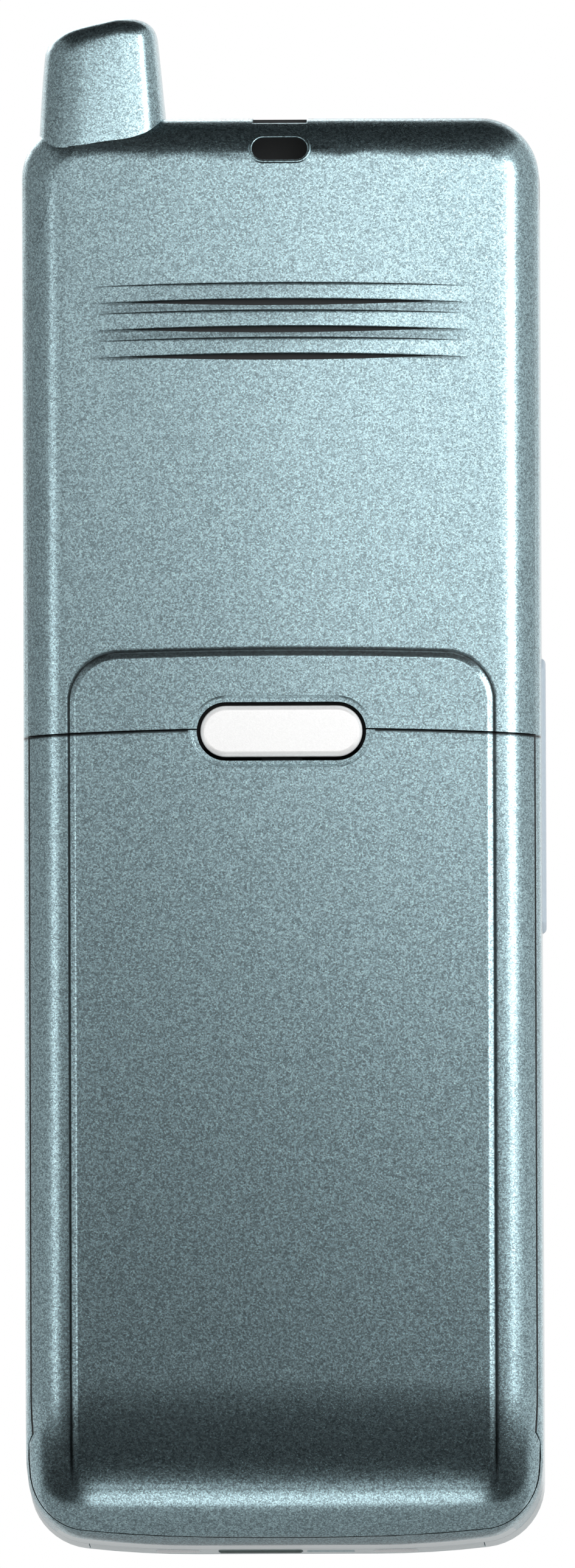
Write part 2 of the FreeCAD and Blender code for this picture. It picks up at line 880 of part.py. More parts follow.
def lug(name, side, margin, inner, outer, low, high):
    near = side * (cell.lug_from + cell.lug_width / 2)
    return block(name, mid(near, cell.lug_width / 2 + margin), (inner, outer), (low, high))


lug_low = cell.cover_foot + 0.2
lug_slots = [
    lug(f"lug_slot_{side + 2}", side, 0.2, cell.lug_inner - 0.2, cell.cover_tuck + 1.3,
        cell.cover_foot + 0.05, lug_low + cell.lug_height + 2.3)
    for side in (-1, 1)
]

rear_blank = joined("rear_blank", hull, stub_rear, *[ridge for ridge, _ in ribs])
rear_case = node("rear_case", without(
    "rear_case_solid",
    rear_blank,
    cover_pocket,
    electronics,
    well,
    stub_hollow,
    eyelet_mouth,
    eyelet_rise,
    latch_hole,
    latch_dish,
    latch_room,
    contact_window,
    socket_hole,
    *[slit for _, slit in ribs],
    *screw_holes,
    *head_holes,
    *lug_slots,
))


# Battery cover: a shell that follows the back, with two lugs at its foot and a catch at its top

cover_inner = inner_form("cover_inner_form", cell.cover_wall, parting)
cover_shell = without("cover_shell", shared("cover_blank", hull, cover_zone("cover_fill", zero)), cover_inner)
cover_lugs = [
    lug(f"cover_lug_{side + 2}", side, 0, cell.lug_inner, cell.cover_tuck + 0.5,
        lug_low, lug_low + cell.lug_height)
    for side in (-1, 1)
]
catch_low = room_foot + 0.5
catch = block("cover_catch", mid(zero, cell.catch_half), (hollow_back - cell.catch_reach, back - 1),
              (catch_low, catch_low + 1.3))
battery_cover = node("battery_cover", without(
    "battery_cover_solid",
    joined("cover_whole", cover_shell, catch, *cover_lugs),
    latch_hole,
    latch_dish,
))


# Latch button on its flange, and the leaf that returns it

flange_back = hollow_back - 0.1
cap = prism("latch_cap", "xz", pill_path(latch_span, latch_rows), flange_back - cell.flange_thick,
            panel_back + cell.latch_proud)
dress(cap, "Chamfer", "latch_cap_edge",
      lambda edge, faces: edge.BoundBox.YMin > -0.01, Size=cell.latch_edge)
flange = block("latch_flange", mid(zero, cell.flange_half), (flange_back - cell.flange_thick, flange_back),
               (latch_height - 1.5, flange_top))
beak_low = catch_low + 1.45
beak = block("latch_beak", mid(zero, cell.catch_half), (flange_back - 1.5, flange_back),
             (beak_low, latch_height - 1))
latch_button = node("latch_button", joined("latch_button_solid", cap, flange, beak))

strip_rise = flange_back - cell.flange_thick - cell.room_floor - cell.strip_thick
strip_half = cell.strip_span / 2
strip_arc = strip_half * strip_half / (2 * strip_rise) + strip_rise / 2
leaf_path = [
    (strip_half, cell.strip_thick),
    ("out", strip_arc, -strip_half, cell.strip_thick),
    (-strip_half, 0),
    ("in", strip_arc, strip_half, 0),
]
latch_leaf = prism("latch_leaf", "xy", leaf_path, latch_height + 0.8,
                   latch_height + 0.8 + cell.strip_width)
latch_leaf.setExpression("Placement.Base.y", cell.room_floor.text)
node("latch_spring", latch_leaf)


# Battery, its terminals, and the spring contacts that meet them

gap = cell.battery_gap
battery_front = cell.floor_back + gap
pack = prism("battery_shape", "xz",
             cut_path(mid(zero, well_half - gap), (cell.well_foot + gap, well_top - gap),
                      cell.battery_corner),
             battery_front, cell.battery_back)
contact_columns = [as_size(step * 3) for step in (-1, 0, 1)]
terminal_rows = (contact_low + 1.2, contact_high - 1.2)


def terminal(number, half, low, high, rows):
    return block(f"terminal_{number}", mid(contact_columns[number % 3], half), (low, high), rows)


pad_cuts = [
    terminal(number, 0.9, battery_front - 1, battery_front + 0.2, terminal_rows)
    for number in range(3)
]
node("battery_pack", without("battery_pack_solid", pack, *pad_cuts))
node("battery_terminals", group("battery_terminal_group", *[
    terminal(number, 0.85, battery_front + 0.05, battery_front + 0.2, grown(terminal_rows, -0.1))
    for number in range(3, 6)
]))
node("battery_connector", block("battery_connector_body", mid(zero, contact_half),
                                (cell.board_back, cell.floor_back - 0.2), (contact_low, contact_high)))
node("battery_contacts", group("battery_contact_group", *[
    terminal(number, 0.5, cell.floor_back - 0.2, battery_front + 0.05, grown(terminal_rows, -0.3))
    for number in range(6, 9)
]))


# Case screws, driven from the back into the front housing's bosses

screws = []
for number, spot in enumerate(screw_spots, start=1):
    head = rod(f"screw_head_{number}", "y", cell.screw_head, cell.screw_seat, cell.screw_seat + 0.9, spot, 12)
    shank = rod(f"screw_shank_{number}", "y", cell.screw_shank, front_inside + 2.4, cell.screw_seat, spot, 12)
    screws.append(joined(f"screw_{number}", head, shank))
node("case_screws", group("case_screw_group", *screws))


# Front housing

front_shell = prism("front_outline", "xz", body_path(zero), front, parting)
dress(front_shell, "Chamfer", "front_rim",
      lambda edge, faces: edge.BoundBox.YMax < (front - parting).value + 0.01, Size=cell.front_bevel)
front_hollow = prism("front_hollow", "xz", body_path(cell.front_wall), front_inside, parting + 1)
bosses = at_screws("screw_boss", cell.boss_radius, front_inside - 0.2, cell.floor_front - 0.05)
pilot_holes = at_screws("pilot_hole", cell.screw_shank + 0.05, front_inside + 2, cell.floor_front + 1)

display_rows = (display_foot, display_top)
display_span = mid(zero, cell.display_half)
window_seat = prism("window_seat", "xz", rounded_path(display_span, display_rows, cell.display_corner),
                    front - 1, front + cell.window_thick + 0.05)
view_span = grown(display_span, -cell.view_margin)
view_rows = grown(display_rows, -cell.view_margin)
view_hole = prism("view_hole", "xz", rounded_path(view_span, view_rows, as_size(1)), front, front_inside + 1)

ear_slots = [
    prism(f"ear_slot_{row + 2}", "xz",
          cut_path(mid(zero, cell.slot_half), mid(ear_height + row * cell.slot_pitch, cell.slot_tall / 2),
                   as_size(0.35)),
          front - 1, front_inside + 1)
    for row in (-1, 0, 1)
]
mic_hole = rod("mic_hole", "y", as_size(0.6), front - 1, front_inside + 1, (zero, cell.mic_height), 12)

# Every key: name, centre, half width, height, corner
number_names = [f"key_{digit}" for digit in range(1, 10)] + ["key_star", "key_0", "key_hash"]
key_places = [
    (name, (number % 3 - 1) * cell.key_column, key_top_row - (number // 3) * key_row,
     cell.key_half, key_tall, cell.key_corner)
    for number, name in enumerate(number_names)
]
key_places += [
    ("talk_key", -cell.call_column, call_height, cell.call_half, cell.call_tall, cell.call_corner),
    ("end_key", cell.call_column, call_height, cell.call_half, cell.call_tall, cell.call_corner),
    ("left_soft_key", -cell.key_column, soft_height, cell.soft_half, cell.soft_tall, cell.call_corner),
    ("right_soft_key", cell.key_column, soft_height, cell.soft_half, cell.soft_tall, cell.call_corner),
]
key_holes = []
key_stem = as_size(1.4)
stem_end = cell.mat_front - cell.key_travel - 0.05
for name, x, z, half, tall, corner in key_places:
    outline = cut_path(mid(x, half), mid(z, tall / 2), corner)
    span = grown(mid(x, half), cell.key_gap)
    rows = grown(mid(z, tall / 2), cell.key_gap)
    key_holes.append(prism(name + "_hole", "xz", cut_path(span, rows, corner + cell.key_gap * 0.6),
                           front - 1, front_inside + 1))
    top = prism(name + "_cap", "xz", outline, front - cell.key_proud, front_inside + 0.4)
    dress(top, "Chamfer", name + "_edge",
          lambda edge, faces: edge.BoundBox.YMax < (front - cell.key_proud - front_inside).value - 0.3,
          Size=cell.key_edge)
    flare = block(name + "_flange", grown(mid(x, half), cell.key_flange),
                  (front_inside + 0.05, front_inside + 0.65), grown(mid(z, tall / 2), cell.key_flange))
    stem = block(name + "_stem", mid(x, key_stem), (front_inside + 0.5, stem_end), mid(z, key_stem))
    node(name, joined(name + "_solid", top, flare, stem))


nav_face = front - 0.5
nav_base = front_inside + 0.55
nav_spot = (zero, nav_height)


def button(name, sides, radius, face, base, bore=None):
    """A round key cap along Y with a bevelled face, and a bore if one is given."""
    cap = rod(name + "_cap", "y", radius, face, base, nav_spot, sides)
    if bore is not None:
        cap = without(name + "_bored", cap, rod(name + "_bore", "y", bore, face - 1, base + 1, nav_spot, 24))
    doc.recompute()
    bevel = doc.addObject("Part::Chamfer", name + "_bevel")
    bevel.Base = cap
    edges = [
        (number, cell.key_edge.value, cell.key_edge.value)
        for number, edge in enumerate(cap.Shape.Edges, start=1)
        if edge.BoundBox.YMax < face.value + 0.01
        and abs(edge.CenterOfMass.x) + abs(edge.CenterOfMass.z - nav_height.value) > 0.9 * radius.value
    ]
    bevel.Edges = edges
    return bevel


ring_flange = without(
    "nav_flange",
    rod("nav_flange_disc", "y", cell.nav_outer + 0.7, nav_base, nav_base + 0.5, nav_spot, 36),
    rod("nav_flange_bore", "y", cell.nav_inner, nav_base - 1, nav_base + 1, nav_spot, 24),
)
ring = button("nav", 36, cell.nav_outer, nav_face, nav_base, cell.nav_inner)
node("nav_ring", joined("nav_ring_solid", ring, ring_flange))
node("select_key", joined(
    "select_key_solid",
    button("select", 24, cell.select_radius, nav_face - 0.1, nav_base + 1.2),
    rod("select_flange", "y", cell.nav_inner + 0.6, nav_base + 0.7, nav_base + 1.2, nav_spot, 24),
))
nav_hole = rod("nav_hole", "y", cell.nav_outer + 0.25, front - 1, front_inside + 1, nav_spot, 36)

volume_rows = (cell.volume_foot, cell.volume_top)
volume_span = (cell.volume_front, cell.volume_back)
volume_slot = prism("volume_slot", "yz",
                    cut_path(grown(volume_span, 0.15), grown(volume_rows, 0.15), as_size(1.0)),
                    -half_width - 1, -half_width + cell.front_wall + 1)
end_rows = (-1, cell.end_height)
end_span = mid(zero, end_half)
end_room = block("end_room", grown(end_span, 0.05), (cell.end_front - 0.05, parting + 1),
                 (-1, cell.end_height + 0.05))

front_tray = without("front_tray", joined("front_blank", front_shell, stub_front), front_hollow)
node("front_housing", without(
    "front_housing_solid",
    joined("front_whole", front_tray, *bosses),
    stub_hollow,
    window_seat,
    view_hole,
    mic_hole,
    nav_hole,
    volume_slot,
    end_room,
    *ear_slots,
    *key_holes,
    *pilot_holes,
))


# Foot end piece with its charging pads and port

end_reach = block("end_reach", end_span, (cell.end_front, parting - 0.05), end_rows)
end_outline = prism("end_outline", "xz", body_path(zero), cell.end_front, parting)
end_blank = shared("end_blank", end_outline, end_reach)
pad_spots = [(side * cell.pad_column, cell.pad_depth) for side in (-1, 1)]
pad_holes = [rod(f"pad_hole_{n}", "z", cell.pad_radius + 0.05, as_size(-1), as_size(0.8), spot, 28)
             for n, spot in enumerate(pad_spots)]
port_span = (cell.port_low, cell.port_high)
port_depth = (cell.port_front, cell.port_back)
port_hole = block("port_hole", port_span, port_depth, (-1, cell.end_height + 1))
strip_hole = block("strip_hole", (cell.port_low - 4.6, cell.port_low - 0.4), port_depth, (-1, 0.15))
node("bottom_end_piece", without("bottom_end_solid", end_blank, port_hole, strip_hole, *pad_holes))
node("charge_pads", group("charge_pad_group", *[
    rod(f"charge_pad_{n}", "z", cell.pad_radius, as_size(0.1), as_size(0.8), spot, 28)
    for n, spot in enumerate(pad_spots)
]))
node("port_cover", block("port_cover_body", grown(port_span, -0.05), grown(port_depth, -0.05), (0.05, 1.6)))
node("io_connector", block("io_connector_body", grown(port_span, -0.3),
                           (cell.port_front + 0.2, cell.board_front), (1.65, cell.connector_top)))


# Volume key, its switch, and the headset socket

key_plate = prism("volume_plate", "yz", cut_path(volume_span, volume_rows, as_size(0.9)),
                  -half_width - cell.volume_proud, -half_width + cell.front_wall + 0.4)
dress(key_plate, "Chamfer", "volume_edge", lambda edge, faces: edge.BoundBox.XMax < 0.01, Size=as_size(0.3))
side_inside = -half_width + cell.front_wall
key_flare = block("volume_flange", (side_inside + 0.35, side_inside + 0.85), grown(volume_span, 0.5),
                  grown(volume_rows, 0.5))
node("volume_key", joined("volume_key_solid", key_plate, key_flare))
volume_middle = (cell.volume_foot + cell.volume_top) / 2
node("volume_switch", block("volume_switch_body", (-half_width + 2.75, -half_width + 4.4),
                            (cell.board_front - 1.8, cell.board_front), mid(volume_middle, 3.5)))
socket_spot = (cell.socket_depth, socket_height)
socket_face = -half_width + 0.08
socket_step = -half_width + cell.case_wall + 0.7
socket_end = socket_face + cell.socket_length
node("headset_socket", without(
    "headset_socket_solid",
    joined(
        "socket_whole",
        rod("socket_nose_tube", "x", cell.socket_nose, socket_face, socket_step + 0.5, socket_spot, 28),
        rod("socket_body_tube", "x", cell.socket_body, socket_step, socket_end, socket_spot, 16),
    ),
    rod("socket_bore_hole", "x", cell.socket_bore, socket_face - 1, socket_end - 1.5, socket_spot, 20),
))


# Display stack behind its window

window_path = rounded_path(grown(display_span, -cell.window_gap), grown(display_rows, -cell.window_gap),
                           cell.display_corner - cell.window_gap)
node("display_window", prism("display_window_solid", "xz", window_path, front, front + cell.window_thick))
gasket_outer = block("gasket_outer", grown(display_span, -1), (front_inside + 0.05, front_inside + 0.5),
                     grown(display_rows, -1))
gasket_inner = block("gasket_inner", grown(view_span, 0.3), (front_inside - 1, front_inside + 1),
                     grown(view_rows, 0.3))
node("display_gasket", without("display_gasket_solid", gasket_outer, gasket_inner))
lcd_front = front_inside + 0.55
node("lcd_panel", block("lcd_panel_body", grown(display_span, -0.8),
                        (lcd_front, lcd_front + cell.panel_thick), grown(display_rows, -0.6)))
node("lcd_backlight", block("lcd_backlight_body", grown(display_span, -0.4),
                            (lcd_front + cell.panel_thick + 0.05, cell.board_front - 0.05), display_rows))


# Earpiece and microphone

ear_spot = (zero, ear_height)
node("earpiece_mesh", block("earpiece_mesh_sheet", mid(zero, cell.slot_half + 0.8),
                            (front_inside + 0.02, front_inside + 0.15),
                            mid(ear_height, cell.slot_pitch + 1.2)))
node("earpiece_receiver", rod("earpiece_body", "y", cell.ear_radius, front_inside + 0.2,
                              cell.board_front - 0.1, ear_spot, 24))
node("microphone", rod("microphone_body", "y", cell.mic_radius, front_inside + 0.1, front_inside + 1.7,
                       (zero, cell.mic_height), 16))
boot = rod("boot_outer", "y", cell.mic_radius + 0.8, front_inside + 0.05, cell.board_front - 0.05,
           (zero, cell.mic_height), 16)
boot_bore = rod("boot_bore", "y", cell.mic_radius + 0.05, front_inside - 1, front_inside + 1.75,
                (zero, cell.mic_height), 16)
node("microphone_boot", without("microphone_boot_solid", boot, boot_bore))


# Board, key mat, and the parts on the board's back

boss_clear = at_screws("boss_clear", cell.boss_radius + 0.3, front, back)
board = prism("board_outline", "xz", cut_path(mid(zero, board_half), (board_foot, board_top), as_size(2.2)),
              cell.board_front, cell.board_back)
node("main_board", without("main_board_solid", board, *boss_clear))
mat_half = board_half - 1.8
mat_rows = (cell.key_low - key_tall / 2 - cell.mat_margin, soft_height + 2.8)
mat = prism("mat_outline", "xz", cut_path(mid(zero, mat_half), mat_rows, as_size(1.2)), cell.mat_front,
            cell.mat_front + cell.mat_thick)
node("keypad_mat", without("keypad_mat_solid", mat, *boss_clear))
dome_plan = block("dome_outline", mid(zero, mat_half),
                  (cell.mat_front + cell.mat_thick + 0.2, cell.board_front - 0.02), mat_rows)
node("dome_sheet", without("dome_sheet_solid", dome_plan, *boss_clear))


def can(name, x, depth, z):
    """A pressed shield: a lid with four thin walls, standing on the board."""
    outer_box = block(name + "_outer", x, (cell.board_back + 0.02, cell.board_back + depth), z)
    inner_box = block(name + "_inner", grown(x, -0.3), (cell.board_back - 1, cell.board_back + depth - 0.3),
                      grown(z, -0.3))
    return node(name, without(name + "_can", outer_box, inner_box))


shield_side = board_half - 1.6
board_split = stub_middle - cell.radio_divide
can("radio_shield", (-shield_side, board_split - 1), 3.2, (cell.radio_foot, board_top - 7))
can("processor_shield", mid(zero, shield_side - 1), 2.4, (board_foot + 20.6, board_foot + 53.6))
node("wifi_module", block("wifi_module_body", (board_split + 1, shield_side),
                          (cell.board_back + 0.02, cell.board_back + 2.0),
                          (cell.radio_foot + 2, board_top - 16)))
ringer_height = contact_high + cell.ringer_rise
node("ringer", rod("ringer_body", "y", as_size(5.8), cell.board_back + 0.05, cell.board_back + 3.3,
                   (-cell.ringer_column, ringer_height), 24))
node("backup_cell", rod("backup_cell_body", "y", as_size(3.4), cell.board_back + 0.05, cell.board_back + 2.1,
                        (cell.ringer_column, ringer_height), 20))
node("vibration_motor", rod("vibration_motor_body", "x", as_size(2), board_split, board_split + 10,
                            (cell.board_back + 2.1, board_top - 10.5), 12))


# Antenna strip and the clip that feeds it

strip_foot = stub_root + 2.5
strip = prism("antenna_blank", "xz", box_path(mid(stub_middle, 2.6), (strip_foot, stub_outer - 2.7)),
              as_size(3.0), as_size(3.6))
slits = [
    block(f"antenna_slit_{n + 1}", mid(stub_middle + (0.6 if n % 2 else -0.6), 2.1), (2, 5),
          (strip_foot + 1.5 + 1.9 * n, strip_foot + 2.4 + 1.9 * n))
    for n in range(6)
]
node("antenna_element", without("antenna_element_solid", strip, *slits))
clip_foot = block("clip_foot", mid(stub_middle, 1.2), (cell.board_back + 0.02, cell.board_back + 0.4),
                  (strip_foot - 7, strip_foot + 0.5))
clip_rise = block("clip_rise", mid(stub_middle, 1.2), (cell.board_back + 0.02, 3.0),
                  (strip_foot - 0.1, strip_foot + 0.5))
node("antenna_clip", joined("antenna_clip_solid", clip_foot, clip_rise))


# Check every object, then write each piece

doc.recompute()
for thing in doc.Objects:
    if "Invalid" in thing.State or "Error" in thing.State:
        raise RuntimeError(f"{thing.Name} failed: {thing.State}")
os.makedirs("parts", exist_ok=True)
for name, thing in nodes.items():
    if thing.Shape.isNull() or not thing.Shape.isValid() or not thing.Shape.Solids:
        raise RuntimeError(f"{name} has no valid solid")
    thing.Shape.exportStep(f"parts/{name}.step")
print(len(nodes), "pieces written")
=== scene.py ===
"""Looks of the network handset: finishes, fine edges, key numbers, studio and camera.

The scene is in metres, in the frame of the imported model: +Z to the antenna, -Y to the keys, +Y to
the battery cover. The pieces of the model stay where they are and get rounder edges and materials.
Measures of the handset are written in millimetres, and MM turns them into metres.
"""
import json
import math

import bmesh
import bpy
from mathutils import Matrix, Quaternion, Vector


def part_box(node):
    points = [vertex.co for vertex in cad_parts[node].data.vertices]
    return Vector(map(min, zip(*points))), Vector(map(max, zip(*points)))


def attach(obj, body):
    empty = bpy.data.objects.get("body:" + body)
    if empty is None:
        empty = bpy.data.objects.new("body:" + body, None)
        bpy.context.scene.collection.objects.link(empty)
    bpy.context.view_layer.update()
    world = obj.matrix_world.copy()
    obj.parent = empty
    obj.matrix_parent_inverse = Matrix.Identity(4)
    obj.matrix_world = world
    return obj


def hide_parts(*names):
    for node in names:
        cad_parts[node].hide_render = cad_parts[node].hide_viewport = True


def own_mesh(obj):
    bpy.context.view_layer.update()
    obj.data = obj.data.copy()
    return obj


MM = 0.001

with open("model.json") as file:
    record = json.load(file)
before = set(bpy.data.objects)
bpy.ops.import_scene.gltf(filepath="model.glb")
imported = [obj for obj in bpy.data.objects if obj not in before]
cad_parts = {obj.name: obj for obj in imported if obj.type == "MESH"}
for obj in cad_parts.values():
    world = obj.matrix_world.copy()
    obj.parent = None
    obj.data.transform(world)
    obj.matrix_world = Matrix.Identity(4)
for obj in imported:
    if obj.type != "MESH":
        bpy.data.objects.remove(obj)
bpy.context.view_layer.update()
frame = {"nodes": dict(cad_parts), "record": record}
nodes = frame["nodes"]
record = frame["record"]
body_of = {node: body for body, members in record["behaviour"]["bodies"].items() for node in members}
slot_of = {entry["node"]: entry["material_slot"] for entry in record["subparts"]}


# Measures of the casing

HALF_WIDE = 23.0
TOP_Z = 127.4
TOP_CORNER = 5.3
BACK_Y = 11.0
BACK_BOW = 400.0                # radius of the back's crown, across the width
BACK_ROLL = 4.2                 # radius of its rolled rim
PARTING = -2.0                  # Y of the plane where the two halves meet
PANEL_HALF = 18.9
PANEL_TOP = 80.0
PANEL_CORNER = 4.3
PANEL_BOW = 450.0               # radius of the bow of its top, and of the seam's
SEAM_Z = 72.84
LATCH_CLEAR = 8.3               # the seam's line starts this far from the middle
RIB_TOPS = (112.6, 110.17, 107.74)
RIB_ZONE = (105.5, 113.0)       # heights between which all the ribs lie
RIB_TALL = 1.5
RIB_HALF = 16.85
RIB_ARCH = 405.0                # radius of the ribs' bow
FOOT_CORNER = 5.7
FOOT_FLAT = 8.0                 # half the flat of the foot
FOOT_CROWN = 86.7               # radius of the gentle arc beside it

# The faceted stub: the X between which it lies, its middle, its heights, its half width, front and
# back at root and tip, and how far its corners are cut
STUB_SPAN = (9.5, 22.5)
STUB_MIDDLE = 15.95
STUB_ROOT_Z, STUB_TIP_Z = 116.5, 137.45
STUB_ROOT = (5.65, -4.0, 10.75)
STUB_TIP = (4.5, -2.9, 9.3)
STUB_CUT = 1.2


# Materials

class Graph:
    """A material's node graph, with short ways to add nodes and join them."""

    def __init__(self, name):
        self.material = bpy.data.materials.new(name)
        self.material.use_nodes = True
        self.nodes = self.material.node_tree.nodes
        self.links = self.material.node_tree.links
        self.shader = self.nodes["Principled BSDF"]
        self.place = self.add("ShaderNodeTexCoord").outputs["Object"]

    def add(self, kind, inputs=None, **settings):
        node = self.nodes.new(kind)
        for key, value in settings.items():
            setattr(node, key, value)
        for key, value in (inputs or {}).items():
            self.put(node.inputs[key], value)
        return node

    def put(self, socket, value):
        if hasattr(value, "is_output"):
            self.links.new(value, socket)
        else:
            socket.default_value = value

    def math(self, operation, a, b=0.0):
        node = self.add("ShaderNodeMath", operation=operation)
        self.put(node.inputs[0], a)
        self.put(node.inputs[1], b)
        return node.outputs[0]

    def plus(self, a, b):
        return self.math("ADD", a, b)

    def minus(self, a, b):
        return self.math("SUBTRACT", a, b)

    def over(self, a, b):
        return self.math("DIVIDE", a, b)

    def larger(self, a, b):
        return self.math("MAXIMUM", a, b)

    def absolute(self, a):
        return self.math("ABSOLUTE", a)

    def times(self, first, *others):
        for other in others:
            first = self.math("MULTIPLY", first, other)
        return first

    def darker(self, factor, share):
        """A factor less a share of itself, from 0 to 1."""
        return self.times(factor, self.minus(1.0, share))

    def cells(self, size):
        """A random value per small cell, from 0 to 1."""
        texture = self.add("ShaderNodeTexVoronoi", {
            "Vector": self.place, "Scale": 1 / size, "Randomness": 1.0})
        return self.add("ShaderNodeSeparateColor", {"Color": texture.outputs["Color"]}).outputs[0]

    def noise(self, size, detail=3.0):
        texture = self.add("ShaderNodeTexNoise", {
            "Vector": self.place, "Scale": 1 / size, "Detail": detail, "Roughness": 0.55})
        return texture.outputs["Fac"]

    def span(self, value, low, high, start=0.0, stop=1.0, how="LINEAR"):
        """From low to high while the value goes from start to stop."""
        node = self.add("ShaderNodeMapRange", {
            "Value": value, "From Min": start, "From Max": stop, "To Min": low, "To Max": high},
            interpolation_type=how)
        return node.outputs["Result"]

    def tint(self, color, factor):
        """A colour, made lighter or darker by a factor."""
        node = self.add("ShaderNodeVectorMath", operation="SCALE")
        self.put(node.inputs[0], color)
        self.put(node.inputs["Scale"], factor)
        return node.outputs[0]

    def mix(self, factor, a, b):
        node = self.add("ShaderNodeMix", data_type="RGBA")
        self.put(node.inputs[0], factor)
        self.put(node.inputs[6], a)
        self.put(node.inputs[7], b)
        return node.outputs[2]

    def bump(self, height, distance, strength=1.0):
        node = self.add("ShaderNodeBump", {"Height": height, "Distance": distance, "Strength": strength})
        self.put(self.shader.inputs["Normal"], node.outputs["Normal"])

    def axis(self, name):
        return self.add("ShaderNodeSeparateXYZ", {"Vector": self.place}).outputs[name]

    def look(self, **inputs):
        for key, value in inputs.items():
            self.put(self.shader.inputs[key.replace("_", " ")], value)
        return self.material


def hill(g, value, middle, width):
    """One at the middle, falling smoothly to nothing at about twice the width."""
    away = g.over(g.minus(value, middle), width)
    return g.math("EXPONENT", g.times(away, away, -1.0))


def panel_edge(g, x, z):
    """How far a point of the back lies outside the raised panel's outline, in millimetres."""
    top = g.minus(PANEL_TOP, g.over(g.times(x, x), 2 * PANEL_BOW))
    across = g.minus(g.absolute(x), PANEL_HALF - PANEL_CORNER)
    up = g.plus(g.minus(z, top), PANEL_CORNER)
    side, above = g.larger(across, 0.0), g.larger(up, 0.0)
    round_part = g.math("SQRT", g.plus(g.times(side, side), g.times(above, above)))
    flat_part = g.math("MINIMUM", g.larger(across, up), 0.0)
    return g.minus(g.plus(round_part, flat_part), PANEL_CORNER)


# Painted shade on the back: fine dark lines, each with its place, width and darkness, for the shade at
# the panel's foot, in the cover's seam and under and between the ribs. A rib's lines lie so far below
# its top, and the panel's line so far outside its outline.
RIB_SHADE_LINES = ((0.02, 0.07, 0.85), (RIB_TALL + 0.1, 0.15, 0.9))
RIB_GAP_SHADE = (RIB_TALL + 0.62, 0.3, 0.5)
PANEL_SHADE_LINE = (-0.04, 0.17, 0.94)
SEAM_SHADE_WIDTH, SEAM_SHADE_DARK = 0.14, 0.97

PANEL_RISE = 0.17               # how far the panel's edge rises in the bump
PANEL_GROOVE = 0.05             # and how deep the line at its foot is


def back_forms(g, height, factor):
    """The panel's rounded edge as a bump, and painted shade: fine dark lines at the panel's foot, in the
    cover's seam and under and between the ribs.
    """
    x, z = (g.over(g.axis(name), MM) for name in "XZ")
    away = panel_edge(g, x, z)
    over_foot = g.span(z, 0.0, 1.0, 4.5, 8.5, "SMOOTHSTEP")
    slope = g.span(away, PANEL_RISE, 0.0, -0.7, -0.15, "SMOOTHSTEP")
    place, width, dark = PANEL_SHADE_LINE
    panel_shade_line = hill(g, away, place, width)
    height = g.plus(height, g.times(g.minus(slope, g.times(panel_shade_line, PANEL_GROOVE)), over_foot))
    # Painted shade: the line at the panel's foot darkens the colour, besides the bump's groove
    factor = g.darker(factor, g.times(panel_shade_line, over_foot, dark))

    # Painted shade in the gap of the cover's seam, beside the latch
    seam = g.minus(SEAM_Z, g.over(g.times(x, x), 2 * PANEL_BOW))
    beside_latch = g.math("GREATER_THAN", g.absolute(x), LATCH_CLEAR)
    seam_shade = g.times(hill(g, z, seam, SEAM_SHADE_WIDTH), beside_latch, SEAM_SHADE_DARK)
    factor = g.darker(factor, seam_shade)

    share = g.absolute(g.over(x, RIB_HALF))
    thins = g.larger(g.minus(1.0, g.math("POWER", share, 8.0)), 0.0)
    unbowed = g.plus(z, g.over(g.times(x, x), 2 * RIB_ARCH))
    # Painted shade: dark lines at each rib's top edge, under its lower edge and in the gap to the next
    # rib
    for top in RIB_TOPS:
        lines = RIB_SHADE_LINES if top == RIB_TOPS[-1] else (*RIB_SHADE_LINES, RIB_GAP_SHADE)
        for drop, width, dark in lines:
            factor = g.darker(factor, g.times(hill(g, unbowed, top - drop, width), thins, dark))
    return height, factor


def flake_paint(name, color, metallic, roughness, coat, flake, depth, forms=None):
    """Metallic paint: fine flakes that catch the light, under a thin clear coat."""
    g = Graph(name)
    grain = g.span(g.cells(flake * MM), 1 - depth, 1 + depth)
    fine = g.span(g.cells(flake * 0.45 * MM), 1 - depth * 0.6, 1 + depth * 0.6)
    factor = g.times(grain, fine)
    height = g.times(g.cells(flake * 0.8 * MM), 0.002)
    # The forms may add bumps, and painted shade to the colour's factor
    if forms:
        height, factor = forms(g, height, factor)
    g.bump(height, MM)
    return g.look(Base_Color=g.tint(color, factor), Metallic=metallic, Roughness=roughness,
                  Coat_Weight=coat, Coat_Roughness=0.12)


def moulded(name, color, roughness, texture=0.25, depth=0.01, speck=0.03):
    """Moulded plastic or rubber with a fine texture and a little variation."""
    g = Graph(name)
    vary = g.times(g.span(g.noise(6 * MM), 1 - speck, 1 + speck, 0.3, 0.7),
                   g.span(g.noise(0.3 * MM, 2.0), 1 - speck, 1 + speck, 0.3, 0.7))
    g.bump(g.noise(texture * MM, 2.0), depth * MM, 0.6)
    rough = g.span(g.noise(4 * MM), roughness - 0.04, roughness + 0.04, 0.3, 0.7)
    return g.look(Base_Color=g.tint(color, vary), Roughness=rough, Metallic=0.0)


def metal(name, color, roughness):
    """Rolled or plated metal with a fine grain, drawn along Z."""
    g = Graph(name)
    stretched = g.add("ShaderNodeVectorMath", operation="DIVIDE")
    g.put(stretched.inputs[0], g.place)
    g.put(stretched.inputs[1], [size * MM for size in (0.05, 0.05, 2.0)])
    grain = g.add("ShaderNodeTexNoise", {"Vector": stretched.outputs[0], "Scale": 1.0, "Detail": 2.0})
    lines = grain.outputs["Fac"]
    g.bump(lines, 0.002 * MM, 0.5)
    rough = g.span(lines, roughness - 0.06, roughness + 0.08, 0.3, 0.7)
    shade = g.span(g.noise(2 * MM), 0.93, 1.04)
    return g.look(Base_Color=g.tint(color, shade), Metallic=1.0, Roughness=rough)


def window_glass(name):
    g = Graph(name)
    return g.look(Base_Color=(0.93, 0.96, 0.96, 1), Roughness=0.02, Transmission_Weight=1.0, IOR=1.49)


